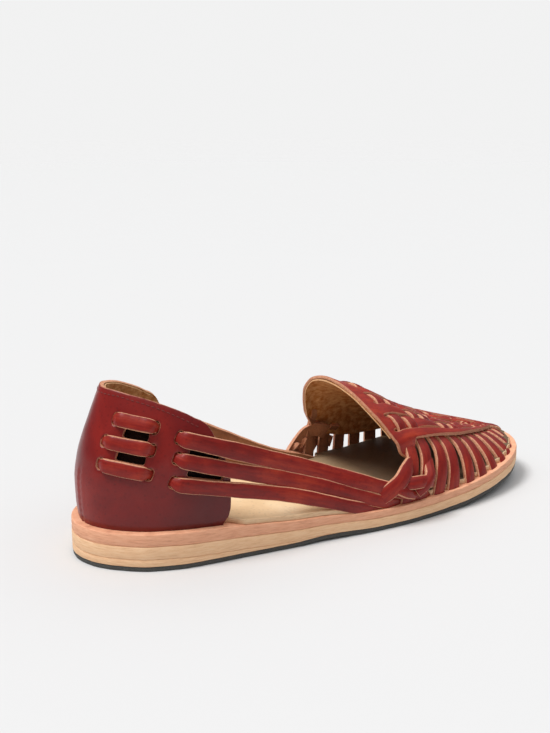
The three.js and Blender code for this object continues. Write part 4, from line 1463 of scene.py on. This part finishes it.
def new_group(name, inputs, outputs):
    tree = bpy.data.node_groups.new(name, "ShaderNodeTree")
    for socket, kind, value in inputs:
        made = tree.interface.new_socket(socket, in_out="INPUT", socket_type=kind)
        if value is not None:
            made.default_value = value
    for socket, kind in outputs:
        tree.interface.new_socket(socket, in_out="OUTPUT", socket_type=kind)
    return tree, tree.nodes.new("NodeGroupInput"), tree.nodes.new("NodeGroupOutput")


def grain_group():
    """Hair-cell grain with pores and fine pull lines. Tone is a slow drift of the dye."""
    name = "leather grain"
    if name in bpy.data.node_groups:
        return bpy.data.node_groups[name]
    tree, start, end = new_group(
        name,
        [
            ("Vector", "NodeSocketVector", None), ("Cell size", "NodeSocketFloat", 900.0),
            ("Drift", "NodeSocketFloat", 45.0),
        ],
        [("Height", "NodeSocketFloat"), ("Tone", "NodeSocketFloat"), ("Pores", "NodeSocketFloat")],
    )
    links = tree.links
    cells = add(tree, "ShaderNodeTexVoronoi", {"Randomness": 1.0}, feature="DISTANCE_TO_EDGE")
    soft = add(tree, "ShaderNodeTexNoise", {"Scale": 260.0, "Detail": 5.0, "Roughness": 0.6})
    drift = add(tree, "ShaderNodeTexNoise", {"Detail": 4.0, "Roughness": 0.55, "Distortion": 0.4})
    pores = add(tree, "ShaderNodeTexVoronoi", {"Scale": 420.0, "Randomness": 1.0})
    for node in (cells, soft, drift, pores):
        links.new(start.outputs["Vector"], node.inputs["Vector"])
    links.new(start.outputs["Cell size"], cells.inputs["Scale"])
    links.new(start.outputs["Drift"], drift.inputs["Scale"])
    cell_height = maths(tree, "MINIMUM", maths(tree, "MULTIPLY", cells.outputs["Distance"], 4.0), 1.0)
    pore = maths(tree, "SUBTRACT", 1.0, maths(tree, "MULTIPLY", pores.outputs["Distance"], 3.2, True), True)
    height = maths(tree, "MULTIPLY_ADD", cell_height, 0.35)
    links.new(soft.outputs["Fac"], height.node.inputs[2])
    height = maths(tree, "SUBTRACT", height, maths(tree, "MULTIPLY", pore, 0.35))
    links.new(height, end.inputs["Height"])
    links.new(drift.outputs["Fac"], end.inputs["Tone"])
    links.new(pore, end.inputs["Pores"])
    return tree


def wear_group():
    """Where a leather's cut edges have rubbed through the dye: 1 is bare."""
    name = "edge wear"
    if name in bpy.data.node_groups:
        return bpy.data.node_groups[name]
    tree, start, end = new_group(
        name,
        [
            ("Vector", "NodeSocketVector", None), ("Rim", "NodeSocketFloat", 0.0),
            ("Amount", "NodeSocketFloat", 0.5),
        ],
        [("Bare", "NodeSocketFloat"), ("Near edge", "NodeSocketFloat")],
    )
    links = tree.links
    patchy = add(tree, "ShaderNodeTexNoise", {"Scale": 320.0, "Detail": 6.0, "Roughness": 0.65})
    links.new(start.outputs["Vector"], patchy.inputs["Vector"])
    reach = maths(tree, "ADD", start.outputs["Rim"], maths(tree, "SUBTRACT", patchy.outputs["Fac"], 0.5))
    reach = maths(tree, "ADD", reach, maths(tree, "SUBTRACT", start.outputs["Amount"], 1.0))
    bare = maths(tree, "MULTIPLY", reach, 3.5, True)
    links.new(bare, end.inputs["Bare"])
    links.new(maths(tree, "POWER", start.outputs["Rim"], 1.5, True), end.inputs["Near edge"])
    return tree


def use_group(tree, group, vector, **values):
    node = add(tree, "ShaderNodeGroup", node_tree=group)
    tree.links.new(vector, node.inputs["Vector"])
    for name, value in values.items():
        socket = node.inputs[name.replace("_", " ")]
        if hasattr(value, "links"):
            tree.links.new(value, socket)
        else:
            socket.default_value = value
    return node.outputs


def leather_material(
    name, colours, rough, wear, bump, cell,
    coat=0.0, coat_rough=0.3, streak=0.0, drift=45.0, pores=0.35, raw=(0.50, 0.20, 0.115),
):
    """Dyed leather. colours are the deep, middle and bright tones of the dye, raw the colour of a bare edge.

    cell is the grain's cells per metre, drift the dye's patches per metre, streak how far the dye is pulled
    out along the strip, and pores how dark the pores are.
    """
    if name in bpy.data.materials:
        return bpy.data.materials[name]
    material = bpy.data.materials.new(name)
    material.use_nodes = True
    tree = material.node_tree
    shader = tree.nodes["Principled BSDF"]
    place = add(tree, "ShaderNodeTexCoord").outputs["Object"]
    grain = use_group(tree, grain_group(), place, Cell_size=cell, Drift=drift)
    rim = add(tree, "ShaderNodeAttribute", attribute_name="rim").outputs["Fac"]
    wear_and_painted_shade = use_group(tree, wear_group(), place, Rim=rim, Amount=wear)
    tone = grain["Tone"]
    if streak:
        run = add(tree, "ShaderNodeUVMap", uv_map="run").outputs["UV"]
        stretch = add(tree, "ShaderNodeMapping", {"Scale": (1.0, 7.0, 1.0)})
        tree.links.new(run, stretch.inputs["Vector"])
        pulled = add(tree, "ShaderNodeTexNoise", {"Scale": 75.0, "Detail": 5.0, "Roughness": 0.6})
        tree.links.new(stretch.outputs["Vector"], pulled.inputs["Vector"])
        still = maths(tree, "MULTIPLY", tone, 1 - streak)
        tone = maths(tree, "ADD", still, maths(tree, "MULTIPLY", pulled.outputs["Fac"], streak))
    deep, middle, bright = colours
    colour = ramp(tree, tone, (0.3, deep), (0.5, middle), (0.7, bright))
    in_pores = maths(tree, "MULTIPLY", grain["Pores"], pores)
    colour = blend_colour(tree, in_pores, colour, tuple(c * 0.45 for c in deep))
    by_edge = maths(tree, "MULTIPLY", wear_and_painted_shade["Near edge"], 0.35)
    colour = blend_colour(tree, by_edge, colour, tuple(c * 0.6 for c in deep))
    colour = blend_colour(tree, wear_and_painted_shade["Bare"], colour, raw)
    tree.links.new(colour, shader.inputs["Base Color"])
    roughness = maths(tree, "MULTIPLY_ADD", tone, 0.22)
    roughness.node.inputs[2].default_value = rough - 0.11
    roughness = maths(tree, "ADD", roughness, maths(tree, "MULTIPLY", wear_and_painted_shade["Bare"], 0.35), True)
    tree.links.new(roughness, shader.inputs["Roughness"])
    shader.inputs["Specular IOR Level"].default_value = LEATHER_SHINE
    shader.inputs["Coat Weight"].default_value = coat
    shader.inputs["Coat Roughness"].default_value = coat_rough
    bumped = add(tree, "ShaderNodeBump", {"Strength": bump, "Distance": 0.00022})
    tree.links.new(grain["Height"], bumped.inputs["Height"])
    tree.links.new(bumped.outputs["Normal"], shader.inputs["Normal"])
    return material


def counter_material():
    colours = ((0.095, 0.0060, 0.0070), (0.180, 0.0085, 0.0075), (0.300, 0.0160, 0.0095))
    return leather_material(
        "polished brandy leather", colours, rough=0.34, wear=0.22, bump=0.16, cell=1100,
        coat=0.26, coat_rough=0.22, drift=16,
    )


def vamp_material():
    colours = ((0.15, 0.009, 0.008), (0.30, 0.019, 0.010), (0.49, 0.052, 0.019))
    return leather_material(
        "brandy vamp leather", colours, rough=0.42, wear=0.42, bump=0.3, cell=900,
        coat=0.08, coat_rough=0.28, streak=0.45,
    )


def strap_material():
    colours = ((0.125, 0.0075, 0.0070), (0.245, 0.0135, 0.0090), (0.410, 0.0380, 0.0150))
    return leather_material(
        "brandy strap leather", colours, rough=0.38, wear=0.36, bump=0.26, cell=950,
        coat=0.12, coat_rough=0.26, streak=0.5,
    )


def lining_material():
    colours = ((0.38, 0.130, 0.028), (0.44, 0.155, 0.035), (0.50, 0.185, 0.045))
    return leather_material(
        "tan lining leather", colours, rough=0.62, wear=0.1, bump=0.06, cell=700,
        drift=14, pores=0.06, raw=(0.62, 0.36, 0.17),
    )


# Painted shade: a near-black leather for the lining's face towards the shell, standing in for the shade seen
# through the counter's windows.
def shaded_material():
    colours = ((0.020, 0.008, 0.005), (0.030, 0.012, 0.008), (0.045, 0.018, 0.012))
    return leather_material(
        "lining back with painted shade", colours, rough=0.75, wear=0.1, bump=0.5, cell=700, raw=(0.06, 0.03, 0.02),
    )


def flesh_material():
    colours = ((0.24, 0.10, 0.052), (0.36, 0.165, 0.09), (0.46, 0.23, 0.135))
    return leather_material(
        "flesh side", colours, rough=0.85, wear=0.1, bump=0.8, cell=500, raw=(0.4, 0.2, 0.12),
    )


def footbed_material():
    colours = ((0.78, 0.52, 0.28), (0.88, 0.63, 0.37), (0.94, 0.72, 0.46))
    material = leather_material(
        "pale footbed leather with painted shade", colours, rough=0.58, wear=0.05, bump=0.25, cell=800,
        coat=0.05, coat_rough=0.4, raw=(0.7, 0.5, 0.3),
    )
    tree = material.node_tree
    shader = tree.nodes["Principled BSDF"]
    unshaded_colour = shader.inputs["Base Color"].links[0].from_socket
    # Painted shade: along the shoe the footbed's colour is blended towards a near-black brown, standing in
    # for the shade under the vamp.
    parts = add(tree, "ShaderNodeSeparateXYZ")
    tree.links.new(add(tree, "ShaderNodeTexCoord").outputs["Object"], parts.inputs["Vector"])
    start, end = (to_frame([[x, 0, 0]])[0][0] for x in FOOTBED_PAINTED_SHADE)
    span = {"From Min": float(start), "From Max": float(end), "To Min": 0.0, "To Max": 0.88}
    wear_and_painted_shade = add(tree, "ShaderNodeMapRange", span)
    tree.links.new(parts.outputs["X"], wear_and_painted_shade.inputs["Value"])
    colour = blend_colour(tree, wear_and_painted_shade.outputs["Result"], unshaded_colour, (0.055, 0.024, 0.012))
    tree.links.new(colour, shader.inputs["Base Color"])
    return material


def fibre_material(name, colours, scale, bump):
    """Raw cut leather: packed fibres, matt. colours are their middle, bright and dark tones, scale their
    number per metre along x, y and z."""
    if name in bpy.data.materials:
        return bpy.data.materials[name]
    material = bpy.data.materials.new(name)
    material.use_nodes = True
    tree = material.node_tree
    shader = tree.nodes["Principled BSDF"]
    place = add(tree, "ShaderNodeTexCoord").outputs["Object"]
    stretch = add(tree, "ShaderNodeMapping", {"Scale": scale})
    tree.links.new(place, stretch.inputs["Vector"])
    fibres = add(tree, "ShaderNodeTexNoise", {"Scale": 1.0, "Detail": 6.0, "Roughness": 0.7})
    tree.links.new(stretch.outputs["Vector"], fibres.inputs["Vector"])
    slow = add(tree, "ShaderNodeTexNoise", {"Scale": 55.0, "Detail": 3.0})
    tree.links.new(place, slow.inputs["Vector"])
    middle, bright, dark = colours
    colour = ramp(tree, fibres.outputs["Fac"], (0.3, dark), (0.48, middle), (0.7, bright))
    colour = blend_colour(tree, maths(tree, "MULTIPLY", slow.outputs["Fac"], 0.4), colour, middle)
    tree.links.new(colour, shader.inputs["Base Color"])
    roughness = maths(tree, "MULTIPLY_ADD", fibres.outputs["Fac"], 0.2)
    roughness.node.inputs[2].default_value = 0.6
    tree.links.new(roughness, shader.inputs["Roughness"])
    bumped = add(tree, "ShaderNodeBump", {"Strength": bump, "Distance": 0.0003})
    tree.links.new(fibres.outputs["Fac"], bumped.inputs["Height"])
    tree.links.new(bumped.outputs["Normal"], shader.inputs["Normal"])
    return material


def cut_edge_material():
    colours = ((0.60, 0.27, 0.15), (0.78, 0.44, 0.28), (0.36, 0.11, 0.055))
    return fibre_material("raw cut edge", colours, (900, 900, 900), 0.6)


def lining_edge_material():
    colours = ((0.66, 0.37, 0.18), (0.78, 0.50, 0.28), (0.45, 0.22, 0.10))
    return fibre_material("pale lining edge", colours, (900, 900, 900), 0.5)


def stacked_material(name, colours):
    return fibre_material(name, colours, (160, 160, 1500), 0.35)


def rubber_material():
    colours = ((0.060, 0.060, 0.055), (0.095, 0.095, 0.088), (0.035, 0.035, 0.033))
    return fibre_material("grey rubber", colours, (1400, 1400, 1400), 0.5)


def thread_material():
    colours = ((0.16, 0.02, 0.016), (0.30, 0.06, 0.045), (0.07, 0.01, 0.01))
    return fibre_material("maroon thread", colours, (3000, 3000, 3000), 0.4)


# ---- Stage ----


def make_stage():
    mesh = bpy.data.meshes.new("studio_floor")
    corners = [(x * FLOOR_REACH, y * FLOOR_REACH, 0) for x, y in ((-1, -1), (1, -1), (1, 1), (-1, 1))]
    mesh.from_pydata(corners, [], [(0, 1, 2, 3)])
    floor = bpy.data.objects.new("studio_floor", mesh)
    bpy.context.scene.collection.objects.link(floor)
    material = bpy.data.materials.new("plain pale floor")
    material.use_nodes = True
    shader = material.node_tree.nodes["Principled BSDF"]
    shader.inputs["Base Color"].default_value = (FLOOR_TONE, FLOOR_TONE, FLOOR_TONE, 1)
    shader.inputs["Roughness"].default_value = 0.9
    shader.inputs["Specular IOR Level"].default_value = 0.1
    far = add(material.node_tree, "ShaderNodeVectorMath", operation="LENGTH")
    spot = add(material.node_tree, "ShaderNodeTexCoord").outputs["Object"]
    material.node_tree.links.new(spot, far.inputs[0])
    near, far_off = FLOOR_FADES
    span = {"From Min": near, "From Max": far_off, "To Min": 1.0, "To Max": 0.0}
    fade = add(material.node_tree, "ShaderNodeMapRange", span)
    material.node_tree.links.new(far.outputs["Value"], fade.inputs["Value"])
    material.node_tree.links.new(fade.outputs["Result"], shader.inputs["Alpha"])
    mesh.materials.append(material)
    floor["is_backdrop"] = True
    world = bpy.data.worlds.new("soft studio")
    bpy.context.scene.world = world
    world.use_nodes = True
    tree = world.node_tree
    tree.nodes.clear()
    sky = add(tree, "ShaderNodeBackground", {"Strength": SKY_LIGHT})
    place = add(tree, "ShaderNodeTexCoord").outputs["Generated"]
    parts = add(tree, "ShaderNodeSeparateXYZ")
    tree.links.new(place, parts.inputs["Vector"])
    shade = ramp(tree, parts.outputs["Z"], *SKY)
    tree.links.new(shade, sky.inputs["Color"])
    seen = add(tree, "ShaderNodeBackground", {"Color": (1, 1, 1, 1), "Strength": BACKDROP})
    path = add(tree, "ShaderNodeLightPath")
    choose = add(tree, "ShaderNodeMixShader")
    out = add(tree, "ShaderNodeOutputWorld")
    tree.links.new(path.outputs["Is Camera Ray"], choose.inputs["Fac"])
    tree.links.new(sky.outputs["Background"], choose.inputs[1])
    tree.links.new(seen.outputs["Background"], choose.inputs[2])
    tree.links.new(choose.outputs["Shader"], out.inputs["Surface"])
    data = bpy.data.lights.new("soft sun", "SUN")
    data.energy = SUN_LIGHT
    data.angle = SUN_SOFT
    sun = bpy.data.objects.new("soft sun", data)
    bpy.context.scene.collection.objects.link(sun)
    sun.rotation_euler = Vector(SUN_FROM).to_track_quat("Z", "Y").to_euler()


def make_camera():
    data = bpy.data.cameras.new("camera")
    data.lens = CAMERA_LENS
    data.sensor_width = 36.0
    camera = bpy.data.objects.new("camera", data)
    bpy.context.scene.collection.objects.link(camera)
    camera.location = CAMERA_PLACE
    camera.rotation_euler = (math.pi / 2 - CAMERA_DOWN, 0.0, -CAMERA_TURN)
    bpy.context.scene.camera = camera
    bpy.context.scene.view_settings.view_transform = "Standard"


make_camera()
make_stage()
make_sole()
make_counter()
make_counter_lining()
make_side_straps()
make_ball_wraps()
make_apron()
make_tongue_lining()
make_cross_strips()
make_toe_spokes()
make_stitches()
